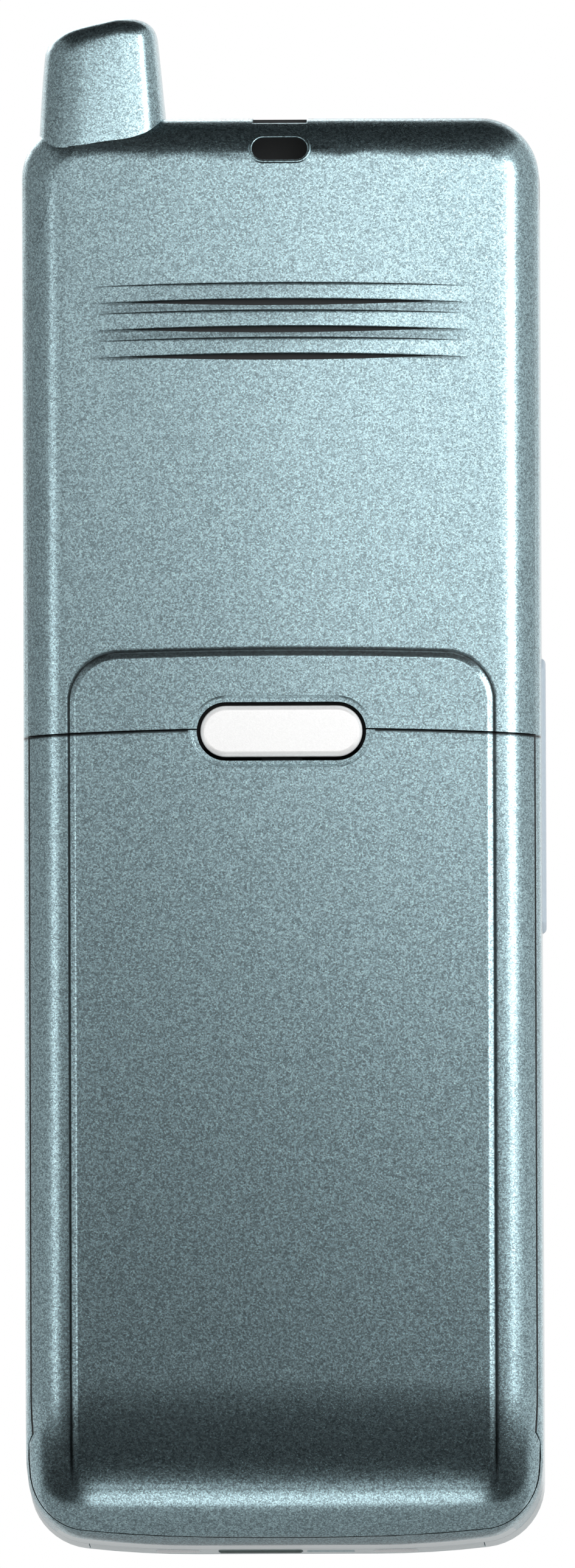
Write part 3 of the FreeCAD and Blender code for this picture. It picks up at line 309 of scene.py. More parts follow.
def display_face(name):
    """A switched-off display: a pale grey-green field inside a dark border, with fine cell lines."""
    g = Graph(name)
    low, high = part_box("lcd_panel")
    middle = (low + high) / 2
    field_half_x, field_half_z = 14.2 * MM, 10.8 * MM
    pitch, line_from = 0.24 * MM, 0.88
    inside, lines = [], []
    for axis, centre, half in (("X", middle.x, field_half_x), ("Z", middle.z, field_half_z)):
        place = g.axis(axis)
        inside.append(g.math("LESS_THAN", g.absolute(g.minus(place, centre)), half))
        lines.append(g.math("GREATER_THAN", g.math("FRACT", g.over(place, pitch)), line_from))
    lit = g.tint((0.30, 0.345, 0.315), g.minus(1.0, g.times(g.larger(*lines), 0.12)))
    color = g.mix(g.times(*inside), (0.018, 0.02, 0.022, 1), lit)
    return g.look(Base_Color=color, Roughness=0.22, Coat_Weight=0.6, Coat_Roughness=0.03)


def board_mask(name):
    """Green solder mask with faint copper tracks beneath."""
    g = Graph(name)
    tracks = g.add("ShaderNodeTexBrick", {"Vector": g.place, "Scale": 1 / (4 * MM), "Mortar Size": 0.03})
    faint = g.times(tracks.outputs["Fac"], 0.5)
    color = g.mix(faint, (0.012, 0.10, 0.05, 1), (0.05, 0.20, 0.08, 1))
    return g.look(Base_Color=color, Roughness=0.35)


materials = {
    # The back's paint carries painted shade: dark lines at the panel, the seam and the ribs
    "silver_paint": flake_paint("back_paint_and_shade", (0.42, 0.585, 0.635), 0.97, 0.27, 0.25, 0.12, 0.46,
                                back_forms),
    "silver_housing": flake_paint("front_paint", (0.60, 0.70, 0.72), 0.75, 0.3, 0.45, 0.12, 0.07),
    "latch_silver": flake_paint("latch_paint", (0.99, 0.99, 0.99), 0.3, 0.2, 0.4, 0.1, 0.03),
    "battery_wrap": moulded("battery_film", (0.035, 0.037, 0.042), 0.38, 0.5, 0.006),
    "gold_contact": metal("gold_plate", (0.44, 0.40, 0.23), 0.3),
    "steel": metal("bright_steel", (0.68, 0.69, 0.70), 0.26),
    "dark_plastic": moulded("dark_moulding", (0.03, 0.031, 0.033), 0.45),
    "end_plastic": flake_paint("end_paint", (0.60, 0.70, 0.72), 0.6, 0.34, 0.3, 0.12, 0.06),
    "soft_rubber": moulded("port_rubber", (0.30, 0.345, 0.33), 0.72, 0.15, 0.012),
    "black_rubber": moulded("black_rubber", (0.02, 0.02, 0.02), 0.75, 0.15, 0.012),
    "key_plastic": moulded("key_moulding", (0.47, 0.55, 0.62), 0.34, 0.12, 0.004, 0.015),
    "clear_window": window_glass("window_glass"),
    "display_face": display_face("display_face"),
    "white_plastic": moulded("white_moulding", (0.78, 0.78, 0.75), 0.5),
    "board_green": board_mask("board_mask"),
    "mat_silicone": moulded("mat_silicone", (0.60, 0.61, 0.62), 0.6),
    "dome_foil": metal("dome_foil", (0.72, 0.70, 0.64), 0.35),
    "shield_tin": metal("shield_tin", (0.66, 0.67, 0.68), 0.32),
    "chip_black": moulded("chip_black", (0.02, 0.02, 0.022), 0.4),
}
# Dark moulding of the inner faces, also used as painted shade in the back's recesses, the latch's gap
# and the foot's groove
inner_plastic_and_shade = moulded("inner_moulding_and_shade", (0.028, 0.031, 0.033), 0.62, 0.2, 0.008)
window_print = moulded("window_print", (0.04, 0.045, 0.05), 0.25, 0.3, 0.001)
number_ink = moulded("number_ink", (0.03, 0.035, 0.05), 0.4, 0.2, 0.001)
green_ink = moulded("green_ink", (0.02, 0.30, 0.08), 0.4, 0.2, 0.001)
red_ink = moulded("red_ink", (0.45, 0.02, 0.02), 0.4, 0.2, 0.001)
floor_paper = moulded("floor_paper", (0.86, 0.86, 0.85), 0.7, 1.0, 0.01, 0.004)


# Making pieces

def new_piece(name, mesh, material):
    piece = bpy.data.objects.new(name, mesh)
    bpy.context.scene.collection.objects.link(piece)
    mesh.materials.clear()
    mesh.materials.append(material)
    return piece


def smooth(piece, angle):
    """Shade the mesh smooth, keeping the edges that are sharper than the angle."""
    mesh = piece.data
    mesh.polygons.foreach_set("use_smooth", [True] * len(mesh.polygons))
    mesh.set_sharp_from_angle(angle=math.radians(angle))


def carry(piece, body):
    """Give a piece the body that it moves with."""
    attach(piece, body)


def mesh_of(bm, name):
    mesh = bpy.data.meshes.new(name)
    bm.to_mesh(mesh)
    bm.free()
    return mesh


def vertices(bm, points):
    """New vertices from points in millimetres."""
    return [bm.verts.new(Vector(point) * MM) for point in points]


def strip(bm, near, far, closed=False):
    """A row of faces between two rows of vertices."""
    count = len(near)
    for index in range(count if closed else count - 1):
        after = (index + 1) % count
        bm.faces.new((near[index], near[after], far[after], far[index]))


def settle(piece):
    """Turn the modifiers' result into the piece's own mesh."""
    depsgraph = bpy.context.evaluated_depsgraph_get()
    depsgraph.update()
    mesh = bpy.data.meshes.new_from_object(piece.evaluated_get(depsgraph), preserve_all_data_layers=True,
                                           depsgraph=depsgraph)
    old = piece.data
    piece.modifiers.clear()
    piece.data = mesh
    bpy.data.meshes.remove(old)


replaced = set()


def dressed(node, name, width, segments=2, angle=24, leave_out=None):
    """A finer copy of a node: its flats in single faces, its sharp edges rounded by width."""
    bm = bmesh.new()
    bm.from_mesh(nodes[node].data)
    bmesh.ops.remove_doubles(bm, verts=bm.verts, dist=0.0005 * MM)
    bmesh.ops.dissolve_limit(bm, angle_limit=math.radians(0.15), verts=bm.verts, edges=bm.edges)
    if leave_out:
        bmesh.ops.delete(bm, geom=[face for face in bm.faces if leave_out(face)], context="FACES")
    piece = new_piece(name, mesh_of(bm, name), materials[slot_of[node]])
    smooth(piece, 180)
    edge = piece.modifiers.new("edges", "BEVEL")
    edge.width = width * MM
    edge.segments = segments
    edge.limit_method = "ANGLE"
    edge.angle_limit = math.radians(angle)
    edge.miter_outer = "MITER_ARC"
    edge.use_clamp_overlap = True
    edge.face_strength_mode = "FSTR_AFFECTED"
    weigh = piece.modifiers.new("shading", "WEIGHTED_NORMAL")
    weigh.weight = 60
    weigh.use_face_influence = True
    settle(piece)
    carry(piece, body_of[node])
    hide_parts(node)
    replaced.add(node)
    return piece


def paint_faces(piece, material, wanted):
    """Give another material to the unpainted faces for which wanted(centre, normal) holds."""
    piece.data.materials.append(material)
    number = len(piece.data.materials) - 1
    for face in piece.data.polygons:
        if face.material_index == 0 and wanted(face.center / MM, face.normal):
            face.material_index = number


# The casing's form

def crown(x):
    """Y of the back's crown, as a parabola."""
    return BACK_Y - x * x / (2 * BACK_BOW)


def rim_place(x, z):
    """How far inside the casing's outline a point of the upper back lies, and the way out."""
    dx, dz = abs(x) - (HALF_WIDE - TOP_CORNER), z - (TOP_Z - TOP_CORNER)
    if dx > 0 and dz > 0:
        reach = math.hypot(dx, dz)
        return TOP_CORNER - reach, (math.copysign(dx, x) / reach, dz / reach)
    if HALF_WIDE - abs(x) < TOP_Z - z:
        return HALF_WIDE - abs(x), (math.copysign(1, x), 0)
    return TOP_Z - z, (0, 1)


def back_height(x, z):
    """Y of the upper back's outer surface: a round crown across the width with a rolled rim."""
    inside, out = rim_place(x, z)
    arch = BACK_Y - BACK_BOW + math.sqrt(BACK_BOW ** 2 - x * x)
    away = BACK_ROLL - inside
    if away <= 0:
        return arch
    middle_x = x - out[0] * away
    middle_y = BACK_Y - BACK_BOW + math.sqrt((BACK_BOW - BACK_ROLL) ** 2 - middle_x ** 2)
    return min(arch, middle_y + math.sqrt(max(0.0, BACK_ROLL ** 2 - away ** 2)))


def foot_place(x, z):
    """How far inside the foot's outline a point lies, and the way out."""
    side, middle_x = abs(x), HALF_WIDE - FOOT_CORNER
    middle_z = FOOT_CROWN - math.sqrt((FOOT_CROWN - FOOT_CORNER) ** 2 - (middle_x - FOOT_FLAT) ** 2)
    if side <= FOOT_FLAT:
        return z, (0, -1)
    if z > middle_z:
        return HALF_WIDE - side, (math.copysign(1, x), 0)
    turn_x, turn_z, radius = middle_x, middle_z, FOOT_CORNER
    if (side - FOOT_FLAT) * (FOOT_CROWN - middle_z) < (FOOT_CROWN - z) * (middle_x - FOOT_FLAT):
        turn_x, turn_z, radius = FOOT_FLAT, FOOT_CROWN, FOOT_CROWN
    dx, dz = side - turn_x, z - turn_z
    reach = math.hypot(dx, dz)
    return radius - reach, (math.copysign(dx, x) / reach, dz / reach)


# The foot's slant: its rise over each millimetre of depth, the Y between which it grows, how deep
# under the skin it still works, and the heights between which it fades out
FOOT_SLANT = 0.047
SLANT_FRONT, SLANT_BACK = -9.3, 5.0
SLANT_SKIN = 1.4
SLANT_FULL, SLANT_NONE = 2.0, 8.0


def slant_foot(piece):
    """Draw the underside in towards the back, so that the front half's rim shows from behind."""
    for vertex in piece.data.vertices:
        x, y, z = vertex.co / MM
        inside, out = foot_place(x, z)
        if z > SLANT_NONE or y < SLANT_FRONT or inside > SLANT_SKIN:
            continue
        near = 1 - max(inside, 0) / SLANT_SKIN
        low = min(1.0, (SLANT_NONE - z) / (SLANT_NONE - SLANT_FULL))
        shift = FOOT_SLANT * (min(y, SLANT_BACK) - SLANT_FRONT) * near * low * MM
        vertex.co.x -= out[0] * shift
        vertex.co.z -= out[1] * shift


def on_stub(point):
    """Whether a point lies on the faceted stub's skin, which the smooth stub takes the place of."""
    x, y, z = point / MM
    near, margin = 0.03, 0.05
    if not STUB_SPAN[0] < x < STUB_SPAN[1] or z < STUB_ROOT_Z - margin:
        return False
    if z > TOP_Z + margin:
        return True
    share = (z - STUB_ROOT_Z) / (STUB_TIP_Z - STUB_ROOT_Z)
    half, front, back = (root + (tip - root) * share for root, tip in zip(STUB_ROOT, STUB_TIP))
    side = abs(x - STUB_MIDDLE) - half
    flats = (side, y - back, front - y)
    cuts = (side + y - back + STUB_CUT, side + front - y + STUB_CUT)
    past = max(*flats, *(cut * math.sqrt(0.5) for cut in cuts))
    if z < STUB_ROOT_Z + margin:
        return past < near
    return abs(past) < near


def stub_face(face):
    return all(on_stub(vertex.co) for vertex in face.verts)


def rib_face(face):
    """Whether a face belongs to a rib's wedge, which stands over the back's crown."""
    centre = face.calc_center_median() / MM
    if abs(centre.x) > RIB_HALF + 0.05 or not RIB_ZONE[0] < centre.z < RIB_ZONE[1]:
        return False
    return any(vertex.co.y / MM > crown(vertex.co.x / MM) + 0.04 for vertex in face.verts)


# Which faces get another material, each from its centre c in millimetres and its normal n

WELL_TOP = 73.0                 # under it the battery cover hides the rear case


def rear_inside(c, n):
    """Inner faces of the rear case, and those under the battery cover; above it, painted shade: faces
    sunk more than 0.3 mm under the back's surface, in its grooves and holes.
    """
    if c.z < WELL_TOP:
        underside = c.z < 9 and n.z < -0.1 or c.z < 1.3
        return abs(c.x) < HALF_WIDE - 0.7 and c.y < BACK_Y - 0.4 and not underside
    if abs(c.x) > HALF_WIDE - 0.4 or c.z > TOP_Z - 0.4:
        return False
    # Painted shade: faces sunk in the back's grooves and holes take the dark moulding
    return c.y < back_height(c.x, c.z) - 0.3 and rim_place(c.x, c.z)[0] > 0.5


def rear_underside(c, n):
    return c.z < 1.6 and c.y < 3.1 and n.z < -0.6


def cover_inside(c, n):
    """Faces that look forward, and those of the cover's thickness away from its outline."""
    within = abs(c.x) < HALF_WIDE - 2.1 and 2.3 < c.z < 72.2 and c.y < BACK_Y - 1.1
    return n.y < -0.3 or (within and n.y < 0.3)


def latch_inside(c, n):
    # Painted shade: the button's sides, under its top, take the dark moulding as the gap round it
    return c.y < BACK_Y - 0.05


def front_inside(c, n):
    """Inner faces of the front housing, and painted shade: the groove in the foot where the halves meet
    takes the dark moulding.
    """
    # Painted shade: the faces of the groove where the halves meet, as a shadow line
    if c.y > PARTING - 0.16 and n.y > 0.3 and c.z < 8:
        return True
    hidden = abs(c.x) < HALF_WIDE - 1.4 and 1.4 < c.z < TOP_Z - 1.3 and c.y > -9.6
    inward = n.y > 0.1 or n.x * c.x < 0 or abs(c.x) < HALF_WIDE - 2.5
    return hidden and inward and foot_place(c.x, c.z)[0] > 0.6


# Pieces from the model with rounded edges

back_shell = dressed("rear_case", "back_shell", 0.16,
                     leave_out=lambda face: stub_face(face) or rib_face(face))
paint_faces(back_shell, inner_plastic_and_shade, rear_inside)
paint_faces(back_shell, materials["silver_housing"], rear_underside)
cover_shell = dressed("battery_cover", "cover_shell", 0.13)
paint_faces(cover_shell, inner_plastic_and_shade, cover_inside)
latch_cap = dressed("latch_button", "latch_cap", 0.16, 3)
paint_faces(latch_cap, inner_plastic_and_shade, latch_inside)

# The leaf spring gets a mesh of its own
leaf = dressed("latch_spring", "leaf_spring", 0.03, 1)
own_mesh(leaf)

front_shell = dressed("front_housing", "front_shell", 0.14, leave_out=stub_face)
paint_faces(front_shell, inner_plastic_and_shade, front_inside)
end_plate = dressed("bottom_end_piece", "end_plate", 0.12)
dressed("charge_pads", "contact_discs", 0.1)
dressed("port_cover", "port_plug", 0.15, 3)
dressed("volume_key", "side_rocker", 0.18, 3)
dressed("nav_ring", "ring_cap", 0.12, angle=20)
dressed("select_key", "select_cap", 0.12, angle=20)
dressed("headset_socket", "socket_tube", 0.08, angle=35)
dressed("display_window", "window_pane", 0.15, 3)
dressed("battery_pack", "battery_case", 0.35, 3)
for piece in (back_shell, cover_shell, front_shell, end_plate):
    slant_foot(piece)
for node in sorted(nodes):
    is_key = node.startswith("key_") or node.endswith("_key")
    if is_key and node not in replaced:
        dressed(node, node + "_cap", 0.22, 3)


# The smooth antenna stub

# Its sides at some heights: X of the outer and inner one, Y of the back's two edges and the front
STUB_OUTER = ((117, 21.2), (122, 21.5), (126, 21.45), (129.4, 21.25), (131.1, 21.13), (132.7, 20.98),
              (134.6, 20.8))
STUB_INNER = ((117, 9.95), (127.8, 10.25), (129.4, 10.42), (131.1, 10.58), (132.7, 10.74), (135.2, 11.0),
              (136.4, 11.1))
STUB_BACK_OUTER = ((117, 8.6), (122.3, 10.3), (124.5, 10.45), (128, 10.15), (136.4, 9.4))
STUB_BACK_INNER = ((117, 9.6), (125, 9.95), (136.4, 9.35))
STUB_FRONT = ((117, -4.05), (136.4, -3.0))
STUB_POWERS = (4.6, 4.0)        # squareness of its corners, on the inner and the outer side
STUB_FOOT = 117.5
STUB_CAP = 1.6                  # how tall its rounded top edge is
STUB_CROWN = 134.8              # height of the section that the top is drawn in from

# Its top: the peak, the X between which it is level, and its fall per millimetre beyond them
STUB_PEAK = 136.3
STUB_LEVEL = (13.2, 14.5)
STUB_FALLS = (0.03, 0.225)


def along(table, at):
    """Straight between the (place, value) pairs of a table."""
    if at <= table[0][0]:
        return table[0][1]
    for (low, first), (high, second) in zip(table, table[1:]):
        if at <= high:
            return first + (second - first) * (at - low) / (high - low)
    return table[-1][1]


def stub_point(turn, z, inset):
    """A point of the stub's section: a box with well rounded corners, its back a little slanted."""
    outer, inner = along(STUB_OUTER, z) - inset, along(STUB_INNER, z) + inset
    cosine, sine = math.cos(turn), math.sin(turn)
    power = 2 / (STUB_POWERS[0] if cosine < 0 else STUB_POWERS[1])
    x = (outer + inner) / 2 + (outer - inner) / 2 * math.copysign(abs(cosine) ** power, cosine)
    share = (x - inner) / max(outer - inner, 0.01)
    back_inner, back_outer = along(STUB_BACK_INNER, z), along(STUB_BACK_OUTER, z)
    back = back_inner + (back_outer - back_inner) * share - inset
    front = along(STUB_FRONT, z) + inset
    y = (back + front) / 2 + (back - front) / 2 * math.copysign(abs(sine) ** power, sine)
    return x, y


def stub_top(x):
    """Height of the stub's slanted top."""
    outer_fall = max(0.0, x - STUB_LEVEL[1]) * STUB_FALLS[1]
    inner_fall = max(0.0, STUB_LEVEL[0] - x) * STUB_FALLS[0]
    return STUB_PEAK - outer_fall - inner_fall


def stub_side(turn, share):
    """A point of the stub's side, at a share of the height that the side has there."""
    x, y = stub_point(turn, 126, 0)
    for _ in range(3):
        z = STUB_FOOT + (stub_top(x) - STUB_CAP - STUB_FOOT) * share
        x, y = stub_point(turn, z, 0)
    return x, y, z


def stub_cap(turn, inset, drop):
    """A point of the stub's top, set in from the side and down from the slanted top."""
    x, y = stub_point(turn, STUB_CROWN, inset)
    return x, y, stub_top(x) - drop


def stub_skin():
    """The whole stub as a closed skin of rings, from its foot to the middle of its top."""
    around, levels, steps = 112, 24, 8
    turns = [2 * math.pi * step / around for step in range(around)]
    rings = [[stub_side(turn, level / levels) for turn in turns] for level in range(levels + 1)]
    for step in range(1, steps + 1):
        angle = math.radians(90 * step / steps)
        inset, drop = STUB_CAP * 1.15 * (1 - math.cos(angle)), STUB_CAP * (1 - math.sin(angle))
        rings.append([stub_cap(turn, inset, drop) for turn in turns])
    rings += [[stub_cap(turn, inset, 0) for turn in turns] for inset in (2.6, 3.6, 4.4)]
    bm = bmesh.new()
    loops = [vertices(bm, ring) for ring in rings]
    for lower, upper in zip(loops, loops[1:]):
        strip(bm, lower, upper, closed=True)
    bm.faces.new(loops[-1])
    bm.faces.new(list(reversed(loops[0])))
    bmesh.ops.recalc_face_normals(bm, faces=bm.faces)
    return bm


def stub_half(name, node, keep_back):
    """The part of the stub on one side of the plane where the casing's halves meet."""
    bm = stub_skin()
    plane = (PARTING + (0.03 if keep_back else -0.05)) * MM
    cut = bmesh.ops.bisect_plane(bm, geom=[*bm.verts, *bm.edges, *bm.faces], plane_co=(0, plane, 0),
                                 plane_no=(0, 1, 0), clear_inner=keep_back, clear_outer=not keep_back)
    edges = [item for item in cut["geom_cut"] if isinstance(item, bmesh.types.BMEdge)]
    bmesh.ops.triangle_fill(bm, edges=edges, use_beauty=True)
    bmesh.ops.recalc_face_normals(bm, faces=bm.faces)
    piece = new_piece(name, mesh_of(bm, name), materials[slot_of[node]])
    smooth(piece, 40)
    carry(piece, body_of[node])


stub_half("stub_rear_skin", "rear_case", True)
stub_half("stub_front_skin", "front_housing", False)


# The casing's skin round the stub's root, and the strap eyelet's rim

def sheet_piece(name, rows, slot):
    """A skin of the casing through rows of points in millimetres."""
    bm = bmesh.new()
    lines = [vertices(bm, row) for row in rows]
    for near, far in zip(lines, lines[1:]):
        strip(bm, near, far)
    piece = new_piece(name, mesh_of(bm, name), materials[slot])
    smooth(piece, 60)
    carry(piece, "casing")


# How far inside the outline the skin's points lie, closer together towards the rolled rim
SKIN_DEPTHS = (9, 7.5, 6, 5, 4.2, 3.4, 2.7, 2.1, 1.6, 1.2, 0.85, 0.55, 0.3, 0.12, 0.03)


def corner_skins():
    """The casing's skin round the stub's root, a hair under the surface, from the top to the side."""
    pitch, steps = 0.6, 16
    # Rounded, as an error in its last digit moves some points by thousandths of a millimetre
    turn_x, turn_z = round(HALF_WIDE - TOP_CORNER, 1), round(TOP_Z - TOP_CORNER, 1)
    path = [(9.0 + step * pitch, TOP_Z, 0.0, 1.0) for step in range(15)]
    for step in range(steps + 1):
        angle = math.radians(90 - 90 * step / steps)
        cosine, sine = math.cos(angle), math.sin(angle)
        path.append((turn_x + TOP_CORNER * cosine, turn_z + TOP_CORNER * sine, cosine, sine))
    path += [(HALF_WIDE, turn_z - pitch - step * pitch, 1.0, 0.0) for step in range(11)]
    rear, front = [], []
    for x, z, out_x, out_z in path:
        row = []
        for inside in SKIN_DEPTHS:
            px, pz = x - out_x * inside, z - out_z * inside
            row.append((px, back_height(px, pz) - 0.02 * min(1.0, inside), pz))
        edge_x, edge_z = x - out_x * SKIN_DEPTHS[-1], z - out_z * SKIN_DEPTHS[-1]
        row += [(edge_x, y, edge_z) for y in (6.0, 3.0, 0.0, PARTING + 0.04)]
        rear.append(row)
        front.append([(edge_x, y, edge_z) for y in (PARTING - 0.05, -4.0, -5.5)])
    sheet_piece("corner_rear_skin", rear, "silver_paint")
    sheet_piece("corner_front_skin", front, "silver_housing")


corner_skins()


def eyelet_rim():
    """A smooth raised rim round the strap hole in the shoulder."""
    half, low, high, thick = 2.62, 123.33, 125.67, 0.17
    rise, sunk, deep = 0.75, 0.03, 1.2
    turn, middle = (high - low) / 2, (high + low) / 2
    path = []
    for side in (1, -1):
        for step in range(17):
            angle = math.radians(180 * step / 16 - 90 * side)
            cosine, sine = math.cos(angle), math.sin(angle)
            path.append((side * (half - turn) + turn * cosine, middle + turn * sine, cosine, sine))
    rows = []
    for x, z, out_x, out_z in path + path[:1]:
        row = []
        for step in range(9):
            angle = math.radians(180 * step / 8)
            away, over = thick * math.cos(angle), thick * math.sin(angle)
            px, pz = x + out_x * away, z + out_z * away
            row.append((px, back_height(px, pz) + over * rise - sunk, pz))
        px, pz = x - out_x * thick, z - out_z * thick
        row.append((px, back_height(px, pz) - deep, pz))
        rows.append(row)
    sheet_piece("eyelet_rim", rows, "silver_paint")


eyelet_rim()


# Grip ribs

# A rib's section, from its foot at the top: how far down, and how far over the back's crown
RIB_SECTION = (
    (0.0, -0.6), (0.0, 0.07), (0.03, 0.12), (0.09, 0.155), (0.3, 0.19), (0.8, 0.265), (1.28, 0.34),
    (1.42, 0.355), (1.49, 0.33), (1.52, 0.26), (1.52, -0.6),
)


def rib_bar(number, top):
    """A grip rib: it bows a little, stands out most at its lower edge and thins out at its ends."""
    bm = bmesh.new()
    rows, steps = [], 56
    for step in range(steps + 1):
        x = RIB_HALF * (2 * step / steps - 1)
        lift, bow = 1 - (x / RIB_HALF) ** 2, x * x / (2 * RIB_ARCH)
        points = []
        for down, over in RIB_SECTION:
            points.append((x, crown(x) + (over * lift if over > 0 else over), top - down - bow))
        rows.append(vertices(bm, points))
    for left, right in zip(rows, rows[1:]):
        strip(bm, left, right, closed=True)
    bm.faces.new(rows[0])
    bm.faces.new(list(reversed(rows[-1])))
    bmesh.ops.recalc_face_normals(bm, faces=bm.faces)
    name = f"rib_bar_{number}"
    piece = new_piece(name, mesh_of(bm, name), materials["silver_paint"])
    smooth(piece, 50)
    carry(piece, "casing")


def rib_bed(number, top):
    """The strip of the back over a rib's bowed upper edge."""
    rows, steps = [], 40
    for step in range(steps + 1):
        x = (RIB_HALF + 0.03) * (2 * step / steps - 1)
        bow = x * x / (2 * RIB_ARCH)
        heights = (top - bow - 0.08, top - bow * 0.5, top + 0.03)
        rows.append([(x, back_height(x, z) - 0.01, z) for z in heights])
    sheet_piece(f"rib_bed_{number}", rows, "silver_paint")


for number, top in enumerate(RIB_TOPS, 1):
    rib_bar(number, top)
    rib_bed(number, top)


# Prints on the front: signs, bars, arrows and the window's border

def print_on(node, name, mesh, ink):
    """Make a mesh a print that moves with a node."""
    carry(new_piece(name, mesh, ink), body_of[node])


def sign(name, text, node, height):
    """A plain character in the middle of a key's face, read from the front."""
    low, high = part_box(node)
    middle = (low + high) / 2
    curve = bpy.data.curves.new(name, "FONT")
    curve.body = text
    curve.size = height * MM * 1.4
    curve.align_x = "CENTER"
    curve.align_y = "CENTER"
    curve.extrude = 0.015 * MM
    curve.resolution_u = 6
    writing = bpy.data.objects.new(name + "_curve", curve)
    bpy.context.scene.collection.objects.link(writing)
    bpy.context.view_layer.update()
    depsgraph = bpy.context.evaluated_depsgraph_get()
    mesh = bpy.data.meshes.new_from_object(writing.evaluated_get(depsgraph))
    bpy.data.objects.remove(writing)
    wide = [vertex.co.x for vertex in mesh.vertices]
    tall = [vertex.co.y for vertex in mesh.vertices]
    centre = Vector(((min(wide) + max(wide)) / 2, (min(tall) + max(tall)) / 2, 0))
    for vertex in mesh.vertices:
        p = vertex.co - centre
        vertex.co = Vector((middle.x + p.x, low.y - 0.012 * MM - p.z, middle.z + p.y))
    print_on(node, name, mesh, number_ink)


def flat_mark(name, corners, node, ink):
    """A thin printed shape on a key's face: corners (x, z), anticlockwise from the front."""
    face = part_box(node)[0].y / MM
    bm = bmesh.new()
    front = vertices(bm, [(x, face - 0.03, z) for x, z in corners])
    rear = vertices(bm, [(x, face + 0.01, z) for x, z in corners])
    bm.faces.new(front)
    bm.faces.new(list(reversed(rear)))
    strip(bm, front, rear, closed=True)
    bmesh.ops.recalc_face_normals(bm, faces=bm.faces)
    print_on(node, name, mesh_of(bm, name), ink)


def middle_of(node):
    """The middle of a node's box, in millimetres."""
    low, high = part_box(node)
    return (low + high) / 2 / MM


def rounded(middle, half_x, half_z, radius, steps):
    """Points (x, z) round a rectangle with round corners."""
    points = []
    for side_x, side_z, turn in ((1, -1, -90), (1, 1, 0), (-1, 1, 90), (-1, -1, 180)):
        for step in range(steps + 1):
            angle = math.radians(turn + 90 * step / steps)
            points.append((middle.x + side_x * (half_x - radius) + radius * math.cos(angle),
                           middle.z + side_z * (half_z - radius) + radius * math.sin(angle)))
    return points


for digit in range(10):
    sign(f"number_{digit}", str(digit), f"key_{digit}", 3.2)
sign("star_sign", "*", "key_star", 4.2)
sign("hash_sign", "#", "key_hash", 3.0)

BAR_HALF, BAR_TALL = 1.7, 0.32
bar_inks = {"talk_key": green_ink, "end_key": red_ink, "left_soft_key": number_ink,
            "right_soft_key": number_ink}
for node, ink in bar_inks.items():
    outline = rounded(middle_of(node), BAR_HALF, BAR_TALL, BAR_TALL * 0.9, 6)
    flat_mark(node + "_bar", outline, node, ink)

ARROW = ((0.8, 6.0), (0, 7.0), (-0.8, 6.0))
ring_middle = middle_of("nav_ring")
for number in range(4):
    turn = math.radians(90 * number)
    cosine, sine = math.cos(turn), math.sin(turn)
    corners = [(ring_middle.x + a * cosine - b * sine, ring_middle.z + a * sine + b * cosine)
               for a, b in ARROW]
    flat_mark(f"ring_arrow_{number + 1}", corners, "nav_ring", number_ink)


def window_border():
    """The dark border printed on the inner side of the window."""
    low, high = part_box("display_window")
    middle, half = (low + high) / 2 / MM, (high - low) / 2 / MM
    inset, border, gap, thick = 0.15, 2.7, 0.008, 0.03
    outer = rounded(middle, half.x - inset, half.z - inset, 2.2, 8)
    inner = rounded(middle, half.x - border, half.z - border, 0.6, 8)
    bm = bmesh.new()
    layers = []
    for y in (high.y / MM + gap, high.y / MM + gap + thick):
        layers.append([vertices(bm, [(x, y, z) for x, z in points]) for points in (outer, inner)])
    for outer_ring, inner_ring in layers:
        strip(bm, outer_ring, inner_ring, closed=True)
    for near, far in zip(*layers):
        strip(bm, near, far, closed=True)
    bmesh.ops.recalc_face_normals(bm, faces=bm.faces)
    piece = new_piece("window_border", mesh_of(bm, "window_border"), window_print)
    carry(piece, "casing")


window_border()

# Nodes that keep their own mesh get a material
for node, thing in nodes.items():
    if node not in replaced:
        thing.material_slots[0].material = materials[slot_of[node]]


# Studio: floor, flags that only reflections see, lamps and world, all in metres

FLOOR_HALF = 2.5
FLOOR_GLOW = 0.6                # how bright reflections see the floor
WORLD_FILL = 0.75               # the world's strength as a light


def sheet(name, centre, across, up, material, reflections_only=True):
    """A flat stage piece from its centre and two half edges."""
    centre, across, up = Vector(centre), Vector(across), Vector(up)
    mesh = bpy.data.meshes.new(name)
    corners = [centre - across - up, centre + across - up, centre + across + up, centre - across + up]
    mesh.from_pydata([tuple(corner) for corner in corners], [], [(0, 1, 2, 3)])
    piece = new_piece(name, mesh, material)
    if reflections_only:
        piece.visible_camera = False
        piece.visible_diffuse = False
        piece.visible_shadow = False
        piece.visible_transmission = False


def flag_cloth(name, glow):
    """Dark cloth with an even glow, as a lit studio wall has."""
    g = Graph(name)
    return g.look(Base_Color=(0.01, 0.01, 0.01, 1), Roughness=1.0, Specular_IOR_Level=0.0,
                  Emission_Color=(1, 1, 1, 1), Emission_Strength=glow)


def floor_flag(name, near, far, cloth):
    """A flag just over the floor, between two distances behind the handset's middle."""
    sheet(name, (0, (near + far) / 2, 0.0005), (0.1, 0, 0), (0, (far - near) / 2, 0), cloth)


